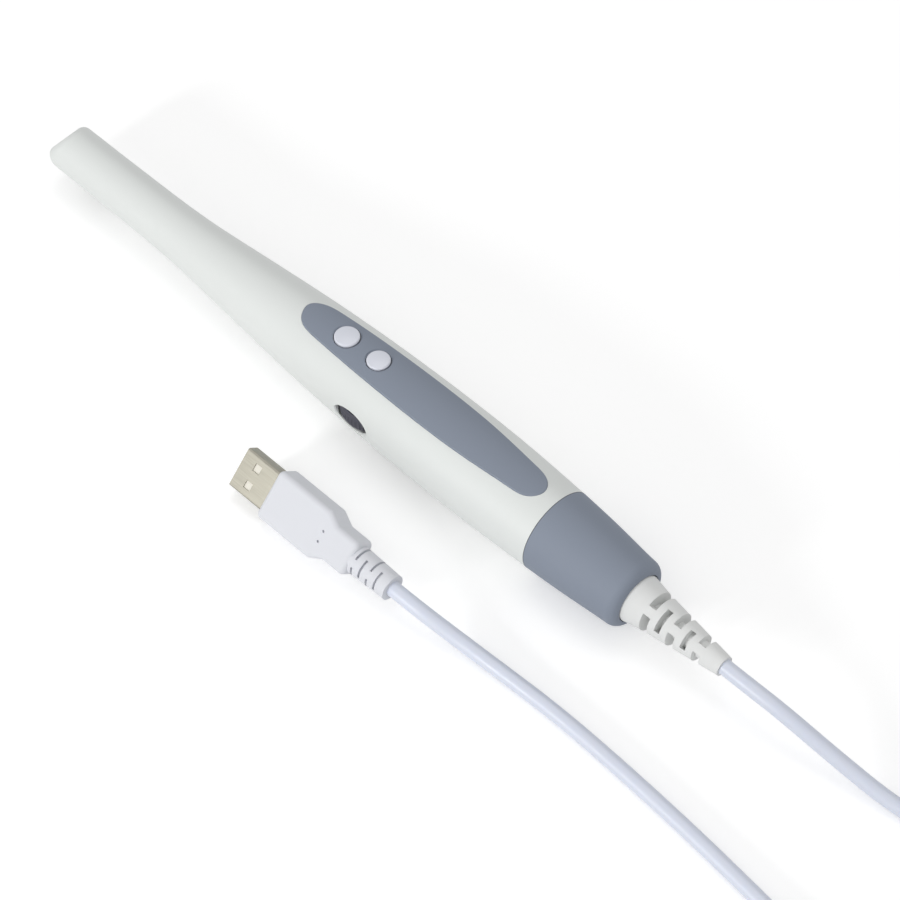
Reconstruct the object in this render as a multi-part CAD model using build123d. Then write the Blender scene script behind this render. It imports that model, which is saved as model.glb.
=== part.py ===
"""Wired intraoral camera: a slender handpiece with a USB lead, lying on its belly.

The frame: +X runs from the cap end to the tip, +Y is the focus wheel's side and
+Z the side of the buttons. The origin is under the middle of the handpiece with
its strain relief, on the surface that it lies on. Stations are measured along X
from the end of the rear cap, and inside heights from the axis of the belly.
"""
import math
import os

from build123d import *

# Handpiece outline, stations from the cap end
HANDPIECE_LENGTH = 223.3
RELIEF_LENGTH = 30.4
SEAM_AT = 30.3
BELLY_AT = 0.2928 * HANDPIECE_LENGTH
NECK_LENGTH = 48.0
CAP_END_RADIUS = 10.2
SEAM_RADIUS = 12.4
BELLY_RADIUS = 13.4
NECK_RADIUS = 7.6
TIP_RADIUS = 7.0
# Shares of the taper's length and of its drop, from belly to neck
TAPER = ((0.28, 0.085), (0.50, 0.285), (0.72, 0.605), (0.88, 0.855))
SECTION_COUNT = 17
CAP_DROP = 1.05
NECK_DROP = 0.7
BELLY_FLAT_DEPTH = 0.3
TIP_FILLET = 2.6
TIP_SLOPE = 35.0
TIP_SLOPE_RISE = 1.0
CAP_FILLET = 3.0

# Hollow of the barrel
BORE_RADIUS = 10.5
BORE_END = 0.4623 * HANDPIECE_LENGTH
NECK_BORE_RADIUS = 5.6
NECK_BORE_LEAD = 2.0
TIP_WALL = 4.2
FIT = 0.05
SEAT_GAP = 0.2
RUNNING_GAP = 0.3

# Flat underside of the head, with its window
HEAD_FLAT_DEPTH = 1.0
HEAD_FLAT_LENGTH = 25.0
HEAD_RAMP = 4.0
WINDOW_LENGTH = 13.0
WINDOW_WIDTH = 6.8
WINDOW_THICKNESS = 1.0
WINDOW_FROM_TIP = 14.4

# Control panel and its two buttons
PANEL_FRONT = 0.5589 * HANDPIECE_LENGTH
PANEL_SETBACK = 4.6
PANEL_REAR = SEAM_AT + PANEL_SETBACK
PANEL_HALF_WIDTH = 6.8
PANEL_CROWN_RADIUS = 18.0
CROWN_MARGIN = 2.0
CROWN_SECTION_COUNT = 9
PANEL_RISE = 0.15
PANEL_THICKNESS = 1.3
PANEL_EDGE = 0.3
# Shares of the panel's half length and half width, from front to rear
PANEL_OUTLINE = ((0.95, 0.56), (0.80, 0.80), (0.45, 0.93), (-0.03, 1.0), (-0.50, 0.92),
                 (-0.82, 0.74), (-0.96, 0.48))
FRONT_BUTTON_AT = 0.4872 * HANDPIECE_LENGTH
REAR_BUTTON_AT = 0.4330 * HANDPIECE_LENGTH
FRONT_BUTTON_RADIUS = 3.55
REAR_BUTTON_RADIUS = 3.3
BUTTON_RISE = 0.55
BUTTON_BEVEL = 0.3
BUTTON_DOME = 0.25
BUTTON_TRAVEL = 0.45
BUTTON_FLANGE = 0.7
FLANGE_GAP = 0.35
BUTTON_FLANGE_THICKNESS = 0.8
BUTTON_STEM_RADIUS = 1.5
RING_WIDTH = 0.6
RING_DEPTH = 0.35

# Focus wheel, its pinion and its axle
WHEEL_AT = 0.4250 * HANDPIECE_LENGTH
WHEEL_RADIUS = 9.0
WHEEL_WIDTH = 5.2
WHEEL_CROWN = 0.8
WHEEL_PROUD = 0.35
SLOT_LENGTH = 12.0
SLOT_HEIGHT = 6.5
SLOT_BEVEL = 0.3
SLOT_LIP = 0.6
KNURL_COUNT = 44
KNURL_DEPTH = 0.3
AXLE_RADIUS = 1.0
AXLE_CLIP_RADIUS = 2.0
AXLE_CLIP_THICKNESS = 0.6
TOOTH_MODULE = 0.5
TOOTH_TIP = 0.4
TOOTH_ROOT = 0.6
PRESSURE_ANGLE = 20.0
PINION_TEETH = 12
PINION_WIDTH = 2.8
BACKLASH = 0.15
RACK_TEETH = 6

# Focus rod and lens carriage
ROD_RADIUS = 0.8
ROD_BELOW_AXIS = 5.0
RACK_HEIGHT = 1.8
RACK_BACK = 1.6
RACK_END = 3.0
ROD_GRIP = 3.0
CARRIAGE_GAP = 6.0
CARRIAGE_LENGTH = 14.0
CARRIAGE_BORE = 3.1
CARRIAGE_FLAT = 4.6
LENS_THICKNESS = 1.5
LENS_BULGE = 0.35
RETAINER_WIDTH = 0.8

# Optics in the head
BLOCK_LENGTH = 16.0
BLOCK_TOP = 4.7
BLOCK_FLOOR = 3.1
BLOCK_FORWARD = 0.4
PRISM_SIZE = 5.0
LIGHT_BORE = 2.2
LED_BOARD_LENGTH = 14.0
LED_BOARD_WIDTH = 7.0
BOARD_THICKNESS = 0.8
LED_SIZE = 1.2
LED_HEIGHT = 0.7
LED_SIDE_PITCH = 1.9
LED_END_PITCH = 4.2
LED_FAR_PITCH = 5.8

# Image sensor
SENSOR_GAP = 4.0
SENSOR_HOLDER_LENGTH = 6.0
SENSOR_SIZE = 5.0
SENSOR_THICKNESS = 1.2
SENSOR_BOARD_WIDTH = 7.6
SENSOR_BOARD_HEIGHT = 6.4
RIBBON_WIDTH = 4.0
RIBBON_THICKNESS = 0.2
RIBBON_PAD = 3.2
RIBBON_BEND = 8.0
RIBBON_SAG = 2.6
RIBBON_LANDING = 6.0
LED_FLEX_WIDTH = 3.0

# Inner frame, main board and what it carries
FRAME_SETBACK = 1.0
FRAME_END = 0.5701 * HANDPIECE_LENGTH
FRAME_TOP = -6.2
FRAME_THICKNESS = 1.4
FRAME_HALF_WIDTH = 6.8
FRAME_NOSE_HALF_WIDTH = 3.6
POST_RADIUS = 1.5
REAR_POST_SETBACK = 9.0
REAR_POST_SIDE = 5.4
FRONT_POST_SETBACK = 8.0
FRONT_POST_SIDE = 3.6
GUIDE_THICKNESS = 1.2
GUIDE_LENGTH = 20.0
MAIN_BOARD_TOP = 5.6
MAIN_BOARD_THICKNESS = 1.0
MAIN_BOARD_SETBACK = 3.0
MAIN_BOARD_END = 0.5522 * HANDPIECE_LENGTH
MAIN_BOARD_HALF_WIDTH = 8.0
MAIN_BOARD_NOSE_HALF_WIDTH = 5.4
SWITCH_SIZE = 6.0
SWITCH_HEIGHT = 2.5
PLUNGER_RADIUS = 1.7
PLUNGER_RISE = 0.8
PLUNGER_DEPTH = 0.5
PROCESSOR_SIZE = 9.0
PROCESSOR_AT = 0.346 * HANDPIECE_LENGTH
USB_CHIP_SIZE = 6.0
USB_CHIP_AT = 0.2657 * HANDPIECE_LENGTH
CHIP_THICKNESS = 1.0
CRYSTAL_LENGTH = 5.0
CRYSTAL_WIDTH = 3.2
CRYSTAL_AT = 0.3058 * HANDPIECE_LENGTH
CONNECTOR_SETBACK = 0.5
CONNECTOR_LENGTH = 5.0
CONNECTOR_WIDTH = 8.0
CONNECTOR_HEIGHT = 3.6
SCREW_HEAD_RADIUS = 1.9
SCREW_HEAD_HEIGHT = 1.2
SCREW_RADIUS = 0.8
SCREW_LENGTH = 5.0

# Rear cap, its seal and the strain relief
SPIGOT_LENGTH = 7.0
SEAL_FROM_SEAM = 3.0
SEAL_RADIUS = 0.55
SEAL_GROOVE_WIDTH = 1.5
CAP_BORE_RADIUS = 8.8
CAP_END_WALL = 3.0
CAP_OPENING_RADIUS = 7.5
RELIEF_BASE_RADIUS = 7.2
RELIEF_NOSE_RADIUS = 6.1
RELIEF_END_RADIUS = 2.95
RELIEF_CORE_RADIUS = 2.5
RELIEF_PLAIN_LENGTH = 5.8
RELIEF_FLANGE_RADIUS = 8.2
RELIEF_FLANGE_LENGTH = 2.0
RELIEF_BLOCKS = 3
RELIEF_NOTCH = 2.4
RELIEF_WEB = 2.6
RELIEF_WINDOW = 1.7
RELIEF_WINDOW_SHARE = 1.25
RELIEF_ROLL = 38.0

# Lead
CORD_RADIUS = 2.25
CORD_TAIL_LENGTH = 9.0
CORD_STRAIGHT = 8.0
BEND_SHARE = 0.45
WIRE_COUNT = 4
WIRE_RADIUS = 0.45
WIRE_PITCH = 1.1
CONNECTOR_PITCH = 1.75
CLAMP_LENGTH = 3.0
CLAMP_RADIUS = 4.2
COIL_CENTRE = (-158.0, 20.0)
COIL_RADIUS = 26.0
COIL_COLUMNS = 4
COIL_LAYERS = 4
COIL_OVERLAP = 0.3
TIE_THICKNESS = 0.8
TIE_WIDTH = 10.0
INNER_TIE_ANGLE = 0.0
OUTER_TIE_ANGLE = 180.0

# Plug
PLUG_TIP_AT = 107.1
PLUG_SIDE = 40.9
PLUG_ROLL = 48.0
SHELL_LENGTH = 12.2
SHELL_WIDTH = 12.0
SHELL_HEIGHT = 4.5
SHELL_WALL = 0.3
SHELL_BURIED = 4.0
LATCH_SIZE = 2.3
LATCH_FROM_TIP = 4.2
LATCH_SIDE = 2.7
GRIP_WIDTH = 15.0
GRIP_HEIGHT = 8.0
GRIP_LENGTH = 19.6
GRIP_FILLET = 1.6
SHOULDER_LENGTH = 4.2
PLUG_NECK_WIDTH = 10.5
PLUG_NECK_LENGTH = 8.0
PIN_HOLE_AT = 32.8
PIN_HOLE_SIDE = 1.6
PIN_HOLE_RADIUS = 0.4
PIN_HOLE_DEPTH = 0.6
TONGUE_HEIGHT = 1.9
TONGUE_SETBACK = 0.6
CONTACT_COUNT = 4
CONTACT_WIDTH = 1.2
CONTACT_THICKNESS = 0.2
CONTACT_LENGTH = 8.0
CONTACT_PITCH = 2.2
PLUG_RELIEF_LENGTH = 12.8
PLUG_RELIEF_RADIUS = 4.2
PLUG_RELIEF_END_RADIUS = 3.8
PLUG_CORE_RADIUS = 3.0
PLUG_SLIT_COUNT = 4
PLUG_SLIT = 0.7
PLUG_SLIT_START = 1.3
PLUG_SLIT_PITCH = 2.7
PLUG_WEB = 2.4
PLUG_WINDOW_WIDTH = 5.4

# Free routes of the lead, from the cap end, chosen by hand
HANDPIECE_ROUTE = ((-50.0, -0.7, 11.0), (-67.0, -2.4, 6.4), (-86.0, -4.2, 2.5),
                   (-106.0, -7.2, 2.4), (-126.0, -11.4, 2.6))
PLUG_ROUTE = ((31.0, 39.0, 4.6), (16.0, 37.2, 2.4), (-6.0, 36.2, 2.3), (-32.0, 37.0, 2.3),
              (-56.0, 38.4, 2.3), (-80.0, 40.6, 2.5), (-101.0, 43.4, 4.0), (-119.0, 45.4, 8.6))

CAP_END_X = -(HANDPIECE_LENGTH - RELIEF_LENGTH) / 2
AXIS_Z = BELLY_RADIUS - BELLY_FLAT_DEPTH
NECK_AT = HANDPIECE_LENGTH - NECK_LENGTH
WINDOW_AT = HANDPIECE_LENGTH - WINDOW_FROM_TIP
BLOCK_AT = WINDOW_AT - BLOCK_LENGTH / 2 + BLOCK_FORWARD
CARRIAGE_AT = BLOCK_AT - CARRIAGE_GAP - CARRIAGE_LENGTH
SENSOR_AT = CARRIAGE_AT - SENSOR_GAP - SENSOR_HOLDER_LENGTH
NECK_BORE_AT = SENSOR_AT - NECK_BORE_LEAD
SPIGOT_END = SEAM_AT + SPIGOT_LENGTH
FRAME_AT = SPIGOT_END + FRAME_SETBACK
MAIN_BOARD_AT = SPIGOT_END + MAIN_BOARD_SETBACK
REAR_POST_AT = MAIN_BOARD_AT + REAR_POST_SETBACK
FRONT_POST_AT = MAIN_BOARD_END - FRONT_POST_SETBACK
FRONT_BUTTON = (FRONT_BUTTON_AT, FRONT_BUTTON_RADIUS)
REAR_BUTTON = (REAR_BUTTON_AT, REAR_BUTTON_RADIUS)
BUTTONS = (FRONT_BUTTON, REAR_BUTTON)


def drop(station):
    """How far the centre line lies under the axis of the belly at a station."""
    if station < BELLY_AT:
        return CAP_DROP * ((BELLY_AT - station) / BELLY_AT) ** 2
    return NECK_DROP * min(1.0, (station - BELLY_AT) / (NECK_AT - BELLY_AT)) ** 2


def outline_points():
    """The stations and radii that the outline passes through."""
    taper_length = NECK_AT - BELLY_AT
    taper_drop = BELLY_RADIUS - NECK_RADIUS
    taper = [(BELLY_AT + along * taper_length, BELLY_RADIUS - down * taper_drop) for along, down in TAPER]
    return [(0.0, CAP_END_RADIUS), (SEAM_AT, SEAM_RADIUS), (BELLY_AT, BELLY_RADIUS), *taper,
            (NECK_AT, NECK_RADIUS), (HANDPIECE_LENGTH, TIP_RADIUS)]


def outer_radius(station):
    """Radius of the handpiece, a smooth curve through the outline's points."""
    points = outline_points()
    slopes = [(after[1] - before[1]) / (after[0] - before[0])
              for before, after in zip([points[0], *points[:-1]], [*points[1:], points[-1]])]
    slopes[points.index((BELLY_AT, BELLY_RADIUS))] = 0.0
    index = max(i for i, point in enumerate(points[:-1]) if point[0] <= station)
    start, end = points[index], points[index + 1]
    length = end[0] - start[0]
    t = (station - start[0]) / length
    return ((2 * t**3 - 3 * t**2 + 1) * start[1] + (t**3 - 2 * t**2 + t) * length * slopes[index]
            + (3 * t**2 - 2 * t**3) * end[1] + (t**3 - t**2) * length * slopes[index + 1])


def top_height(station):
    """Height of the handpiece's top line over the axis of the belly."""
    return outer_radius(station) - drop(station)


def across(station, side=0.0, height=0.0):
    """A plane across X at a station, centred beside and over the axis of the belly."""
    return Plane(origin=(CAP_END_X + station, side, AXIS_Z + height), x_dir=(0, -1, 0), z_dir=(1, 0, 0))


def rod(start, end, radius, side=0.0, height=0.0):
    """A round bar along X between two stations."""
    return extrude(across(start, side, height) * Circle(radius), end - start)


def block(start, end, half_width, bottom, top, side=0.0):
    """A box between two stations, centred beside the axis, between two heights."""
    size = (end - start, 2 * half_width, top - bottom)
    centre = (CAP_END_X + (start + end) / 2, side, AXIS_Z + (bottom + top) / 2)
    return Pos(*centre) * Box(*size)


def post(station, side, radius, bottom, top):
    """A round post along Z between two heights."""
    centre = (CAP_END_X + station, side, AXIS_Z + (bottom + top) / 2)
    return Pos(*centre) * Cylinder(radius, top - bottom)


def plate(outline, bottom, top):
    """A plate between two heights, from an outline of stations and sides."""
    level = Plane.XY.offset(AXIS_Z + bottom)
    points = [(CAP_END_X + station, side) for station, side in outline]
    return extrude(level * make_face(Polyline(*points, close=True)), top - bottom)


def tapered_plate(start, end, half_width, nose_half_width, bottom, top):
    """A plate that is straight along the barrel's bore and narrows in its cone."""
    side = [(start, half_width), (BORE_END, half_width), (end, nose_half_width)]
    mirrored = [(station, -width) for station, width in reversed(side)]
    return plate(side + mirrored, bottom, top)


def lofted(radius_of, height_of, start, end, count):
    """A smooth body through circles, from functions of the station for radius and height."""
    stations = [start + (end - start) * i / (count - 1) for i in range(count)]
    return loft([across(s, 0.0, height_of(s)) * Circle(radius_of(s)) for s in stations])


def handpiece_body():
    """The whole outside of barrel and cap, with its belly flat and rounded ends."""
    body = lofted(outer_radius, lambda s: -drop(s), 0.0, HANDPIECE_LENGTH, SECTION_COUNT) - tip_bevel()
    tip = CAP_END_X + HANDPIECE_LENGTH - TIP_RADIUS
    body = fillet(body.edges().filter_by(lambda edge: edge.center().X > tip), TIP_FILLET)
    body = fillet(body.faces().sort_by(Axis.X)[0].edges(), CAP_FILLET)
    floor = block(0.0, HANDPIECE_LENGTH, BELLY_RADIUS, -2 * BELLY_RADIUS, -AXIS_Z)
    return body - floor


def tip_bevel():
    """What is cut from the tip's end so that it slopes back towards the top."""
    rise = 2 * TIP_RADIUS
    back = (rise - TIP_SLOPE_RISE) * math.tan(math.radians(TIP_SLOPE))
    side = [(HANDPIECE_LENGTH, TIP_SLOPE_RISE), (HANDPIECE_LENGTH - back, rise), (HANDPIECE_LENGTH, rise)]
    points = [(CAP_END_X + station, AXIS_Z + head_axis() + height) for station, height in side]
    return extrude(Plane.XZ * make_face(Polyline(*points, close=True)), rise, both=True)


def crown(rise):
    """A broad crowned body whose top line stands over the handpiece's by a rise."""
    def centre(station):
        return top_height(station) + rise - PANEL_CROWN_RADIUS
    return lofted(lambda s: PANEL_CROWN_RADIUS, centre, PANEL_REAR - CROWN_MARGIN,
                  PANEL_FRONT + CROWN_MARGIN, CROWN_SECTION_COUNT)


def panel_prism(gap):
    """The panel's plan outline as a tall prism, wider by a gap."""
    middle = CAP_END_X + (PANEL_FRONT + PANEL_REAR) / 2
    half = (PANEL_FRONT - PANEL_REAR) / 2 + gap
    side = [(middle + along * half, width * (PANEL_HALF_WIDTH + gap)) for along, width in PANEL_OUTLINE]
    other_side = [(x, -y) for x, y in reversed(side)]
    outline = Spline((middle + half, 0), *side, (middle - half, 0), *other_side, periodic=True)
    return extrude(Plane.XY.offset(AXIS_Z) * make_face(outline), BELLY_RADIUS + BUTTON_RISE)


def head_axis():
    """Height of the neck's axis over the axis of the belly."""
    return -NECK_DROP


def wheel_side():
    """How far the wheel's axle lies beside the axis."""
    return outer_radius(WHEEL_AT) + WHEEL_PROUD - WHEEL_RADIUS


def barrel(body):
    """White moulded barrel: grip, neck and closed tip."""
    tip_bore_end = HANDPIECE_LENGTH - TIP_WALL
    shape = body & block(SEAM_AT, HANDPIECE_LENGTH, BELLY_RADIUS, -AXIS_Z, BELLY_RADIUS)
    shape -= rod(SEAM_AT, BORE_END, BORE_RADIUS)
    shape -= loft([across(BORE_END) * Circle(BORE_RADIUS),
                   across(NECK_BORE_AT, 0.0, head_axis()) * Circle(NECK_BORE_RADIUS)])
    shape -= rod(NECK_BORE_AT, tip_bore_end, NECK_BORE_RADIUS, 0.0, head_axis())
    shape -= panel_prism(FIT) - crown(PANEL_RISE - PANEL_THICKNESS)
    for station, radius in BUTTONS:
        shape -= post(station, 0.0, radius + BUTTON_FLANGE + RUNNING_GAP, 0.0, BELLY_RADIUS)
    shape -= head_underside()
    shape -= window_prism(FIT, -2 * NECK_BORE_RADIUS, -NECK_BORE_RADIUS / 2)
    return shape - wheel_slot()


def head_underside():
    """What is cut from under the head to leave its flat, with a ramp behind."""
    flat = head_axis() - TIP_RADIUS + HEAD_FLAT_DEPTH
    low = flat - 2 * HEAD_FLAT_DEPTH
    start = HANDPIECE_LENGTH - HEAD_FLAT_LENGTH
    side = [(start - HEAD_RAMP, low), (start, flat), (HANDPIECE_LENGTH, flat), (HANDPIECE_LENGTH, low)]
    points = [(CAP_END_X + station, AXIS_Z + height) for station, height in side]
    return extrude(Plane.XZ * make_face(Polyline(*points, close=True)), TIP_RADIUS, both=True)


def window_prism(gap, bottom, top):
    """The window's stadium shape between two heights from the head's axis."""
    level = Plane(origin=(CAP_END_X + WINDOW_AT, 0, AXIS_Z + head_axis() + bottom))
    shape = SlotOverall(WINDOW_LENGTH + 2 * gap, WINDOW_WIDTH + 2 * gap)
    return extrude(level * shape, top - bottom)


def wheel_slot():
    """The wheel's pocket inside the wall and its oval mouth, bevelled outside."""
    surface = outer_radius(WHEEL_AT)
    half = WHEEL_WIDTH / 2 + RUNNING_GAP
    pocket = post(WHEEL_AT, wheel_side(), WHEEL_RADIUS + RUNNING_GAP, -half, half)
    pocket &= rod(WHEEL_AT - WHEEL_RADIUS, WHEEL_AT + WHEEL_RADIUS, surface - SLOT_LIP)
    inside = Plane(origin=(CAP_END_X + WHEEL_AT, BORE_RADIUS / 2, AXIS_Z), x_dir=(1, 0, 0), z_dir=(0, 1, 0))
    outside = inside.offset(surface - BORE_RADIUS / 2)
    oval = Ellipse(SLOT_LENGTH / 2, SLOT_HEIGHT / 2)
    wide = Ellipse(SLOT_LENGTH / 2 + SLOT_LIP, SLOT_HEIGHT / 2 + SLOT_LIP)
    bevel = loft([outside.offset(-SLOT_LIP) * oval, outside.offset(SLOT_BEVEL) * wide])
    return pocket + extrude(inside * oval, BELLY_RADIUS) + bevel


def window_cover():
    """Clear window under the head."""
    bottom = HEAD_FLAT_DEPTH - TIP_RADIUS
    return window_prism(0.0, bottom, bottom + WINDOW_THICKNESS)


def control_panel():
    """Blue-grey inlay with the two button rings."""
    panel = panel_prism(0.0) & crown(PANEL_RISE)
    rim = panel.faces().sort_by(Axis.Z)[-1].outer_wire().edges()
    panel = fillet(rim, PANEL_EDGE) - crown(PANEL_RISE - PANEL_THICKNESS)
    for station, radius in BUTTONS:
        hole = radius + RUNNING_GAP
        surface = top_height(station) + PANEL_RISE
        panel -= post(station, 0.0, hole, 0.0, surface + BUTTON_RISE)
        panel -= post(station, 0.0, radius + RING_WIDTH, surface - RING_DEPTH, surface + BUTTON_RISE)
    return panel


def plunger_top():
    """Height of a switch plunger's top at rest."""
    return MAIN_BOARD_TOP + SWITCH_HEIGHT + PLUNGER_RISE


def crown_fall(reach):
    """How far the panel's crown falls from its top line to a distance beside it."""
    return PANEL_CROWN_RADIUS - math.sqrt(PANEL_CROWN_RADIUS**2 - reach**2)


def button(station, radius):
    """White push button: a domed cap, a flange under the panel and a stem."""
    surface = top_height(station) + PANEL_RISE
    flange_radius = radius + BUTTON_FLANGE
    flange_top = surface - PANEL_THICKNESS - FLANGE_GAP - crown_fall(flange_radius)
    flange_bottom = flange_top - BUTTON_FLANGE_THICKNESS
    top = surface + BUTTON_RISE
    rim = top - BUTTON_DOME
    edge = radius - BUTTON_BEVEL
    side = Polyline((edge, rim), (radius, rim - BUTTON_BEVEL), (radius, flange_top),
                    (flange_radius, flange_top), (flange_radius, flange_bottom),
                    (BUTTON_STEM_RADIUS, flange_bottom), (BUTTON_STEM_RADIUS, plunger_top()),
                    (0, plunger_top()), (0, top))
    dome = ThreePointArc((0, top), (edge / 2, top - BUTTON_DOME / 4), (edge, rim))
    profile = Plane.XZ * make_face([*side.edges(), dome])
    return Pos(CAP_END_X + station, 0, AXIS_Z) * revolve(profile, Axis.Z)


def switch_body(station):
    """Tact switch on the main board, with a well for its plunger."""
    top = MAIN_BOARD_TOP + SWITCH_HEIGHT
    half = SWITCH_SIZE / 2
    shape = block(station - half, station + half, half, MAIN_BOARD_TOP, top)
    well = PLUNGER_DEPTH + BUTTON_TRAVEL + RUNNING_GAP
    return shape - post(station, 0.0, PLUNGER_RADIUS + RUNNING_GAP, top - well, top)


def switch_plunger(station):
    """The switch's own plunger, which the button's stem presses."""
    bottom = MAIN_BOARD_TOP + SWITCH_HEIGHT - PLUNGER_DEPTH
    return post(station, 0.0, PLUNGER_RADIUS, bottom, plunger_top())


def pitch_radius():
    """Pitch radius of the pinion."""
    return TOOTH_MODULE * PINION_TEETH / 2


def tooth_half_width(depth):
    """Half the width of a straight-sided tooth, at a depth below its pitch line."""
    pitch = math.pi * TOOTH_MODULE
    return (pitch / 2 - BACKLASH) / 2 + depth * math.tan(math.radians(PRESSURE_ANGLE))


def pinion_face():
    """Outline of the pinion: a root circle with straight-sided teeth."""
    root = pitch_radius() - TOOTH_ROOT
    tip = pitch_radius() + TOOTH_TIP
    low = tooth_half_width(TOOTH_ROOT)
    high = tooth_half_width(-TOOTH_TIP)
    inner = root - TOOTH_MODULE / 2
    tooth = make_face(Polyline((inner, -low), (root, -low), (tip, -high), (tip, high), (root, low),
                               (inner, low), close=True))
    return Circle(root) + [Rot(0, 0, 360 * i / PINION_TEETH) * tooth for i in range(PINION_TEETH)]


def focus_wheel():
    """Knurled thumbwheel with its hub and pinion, moulded as one."""
    half = WHEEL_WIDTH / 2
    edge = WHEEL_RADIUS - WHEEL_CROWN
    rim = ThreePointArc((edge, half), (WHEEL_RADIUS, 0), (edge, -half))
    sides = Polyline((edge, -half), (0, -half), (0, half), (edge, half))
    wheel = revolve(Plane.XZ * make_face([rim, *sides.edges()]), Axis.Z)
    groove = Pos(WHEEL_RADIUS + KNURL_DEPTH, 0, 0) * Cylinder(2 * KNURL_DEPTH, WHEEL_WIDTH)
    wheel -= [Rot(0, 0, 360 * i / KNURL_COUNT) * groove for i in range(KNURL_COUNT)]
    wheel += Pos(0, 0, -half - PINION_WIDTH) * extrude(pinion_face(), PINION_WIDTH)
    wheel -= Cylinder(AXLE_RADIUS + FIT, 2 * (WHEEL_WIDTH + PINION_WIDTH))
    return Pos(CAP_END_X + WHEEL_AT, wheel_side(), AXIS_Z) * wheel


def wheel_axle():
    """Steel pin that stands in the inner frame and carries the wheel."""
    top = WHEEL_WIDTH / 2 + SEAT_GAP + AXLE_CLIP_THICKNESS + SEAT_GAP
    return post(WHEEL_AT, wheel_side(), AXLE_RADIUS, FRAME_TOP - FRAME_THICKNESS, top)


def axle_clip():
    """Retaining ring on top of the wheel."""
    bottom = WHEEL_WIDTH / 2 + SEAT_GAP
    top = bottom + AXLE_CLIP_THICKNESS
    ring = post(WHEEL_AT, wheel_side(), AXLE_CLIP_RADIUS, bottom, top)
    return ring - post(WHEEL_AT, wheel_side(), AXLE_RADIUS, bottom, top)


def rack_pitch_side():
    """Where the rack's pitch line lies beside the axis."""
    return wheel_side() - pitch_radius()


def rod_side():
    """Where the rod's centre lies beside the axis."""
    return rack_pitch_side() - TOOTH_ROOT - RACK_BACK / 2


def focus_rod():
    """Rack under the wheel and the thin rod that runs on to the lens carriage."""
    pitch = math.pi * TOOTH_MODULE
    root = rack_pitch_side() - TOOTH_ROOT
    tip = rack_pitch_side() + TOOTH_TIP
    low = tooth_half_width(TOOTH_ROOT)
    high = tooth_half_width(-TOOTH_TIP)
    bottom = -ROD_BELOW_AXIS - RACK_HEIGHT / 2
    top = bottom + RACK_HEIGHT
    half = RACK_TEETH * pitch / 2 + RACK_END
    bar = block(WHEEL_AT - half, WHEEL_AT + half, RACK_BACK / 2, bottom, top, root - RACK_BACK / 2)
    for i in range(RACK_TEETH):
        middle = WHEEL_AT + (i - (RACK_TEETH - 1) / 2) * pitch
        bar += plate([(middle - low, root - FIT), (middle - low, root), (middle - high, tip),
                      (middle + high, tip), (middle + low, root), (middle + low, root - FIT)], bottom, top)
    return bar + rod(WHEEL_AT + half - FIT, CARRIAGE_AT + ROD_GRIP, ROD_RADIUS, rod_side(), -ROD_BELOW_AXIS)


def lens_carriage():
    """Black tube that slides in the neck's bore and holds the lenses."""
    end = CARRIAGE_AT + CARRIAGE_LENGTH
    radius = NECK_BORE_RADIUS - RUNNING_GAP
    seat = RETAINER_WIDTH + LENS_THICKNESS
    shape = rod(CARRIAGE_AT, end, radius, 0.0, head_axis())
    shape -= rod(CARRIAGE_AT, end, CARRIAGE_BORE - RETAINER_WIDTH, 0.0, head_axis())
    for start in (CARRIAGE_AT, end - seat):
        shape -= rod(start, start + seat, CARRIAGE_BORE, 0.0, head_axis())
    shape -= block(CARRIAGE_AT, end, radius, head_axis() + CARRIAGE_FLAT, head_axis() + 2 * radius)
    return shape - rod(CARRIAGE_AT, CARRIAGE_AT + ROD_GRIP, ROD_RADIUS, rod_side(), -ROD_BELOW_AXIS)


def lens(start):
    """A double-convex lens between two stations, bulging inside its seat."""
    radius = CARRIAGE_BORE
    edge = LENS_THICKNESS - 2 * LENS_BULGE
    middle = LENS_THICKNESS / 2
    outline = [ThreePointArc((-edge / 2, radius), (-middle, 0), (-edge / 2, -radius)),
               Line((-edge / 2, -radius), (edge / 2, -radius)),
               ThreePointArc((edge / 2, -radius), (middle, 0), (edge / 2, radius)),
               Line((edge / 2, radius), (-edge / 2, radius))]
    face = make_face(outline) & Pos(0, radius) * Rectangle(2 * LENS_THICKNESS, 2 * radius)
    shape = revolve(Plane.XZ * face, Axis.X)
    return Pos(CAP_END_X + start + middle, 0, AXIS_Z + head_axis()) * shape


def lens_retainer(start):
    """Threaded ring that holds a lens in the carriage."""
    end = start + RETAINER_WIDTH
    ring = rod(start, end, CARRIAGE_BORE, 0.0, head_axis())
    return ring - rod(start, end, CARRIAGE_BORE - RETAINER_WIDTH, 0.0, head_axis())


def optics_block():
    """Black block in the head that holds the prism over the window."""
    end = BLOCK_AT + BLOCK_LENGTH
    axis = head_axis()
    half = PRISM_SIZE / 2
    radius = NECK_BORE_RADIUS - 3 * FIT
    shape = rod(BLOCK_AT, end, radius, 0.0, axis)
    shape &= block(BLOCK_AT, end, radius, axis - BLOCK_FLOOR, axis + BLOCK_TOP)
    shape -= block(WINDOW_AT - half, WINDOW_AT + half, half, axis - radius, axis + half)
    return shape - rod(BLOCK_AT, WINDOW_AT, LIGHT_BORE, 0.0, axis)


def prism():
    """Right-angle prism that turns the view from the window towards the lens."""
    half = PRISM_SIZE / 2
    station, axis = WINDOW_AT, AXIS_Z + head_axis()
    corners = [(-half, -half), (half, -half), (-half, half)]
    points = [(CAP_END_X + station + along, axis + height) for along, height in corners]
    return extrude(Plane.XZ * make_face(Polyline(*points, close=True)), half, both=True)


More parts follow.
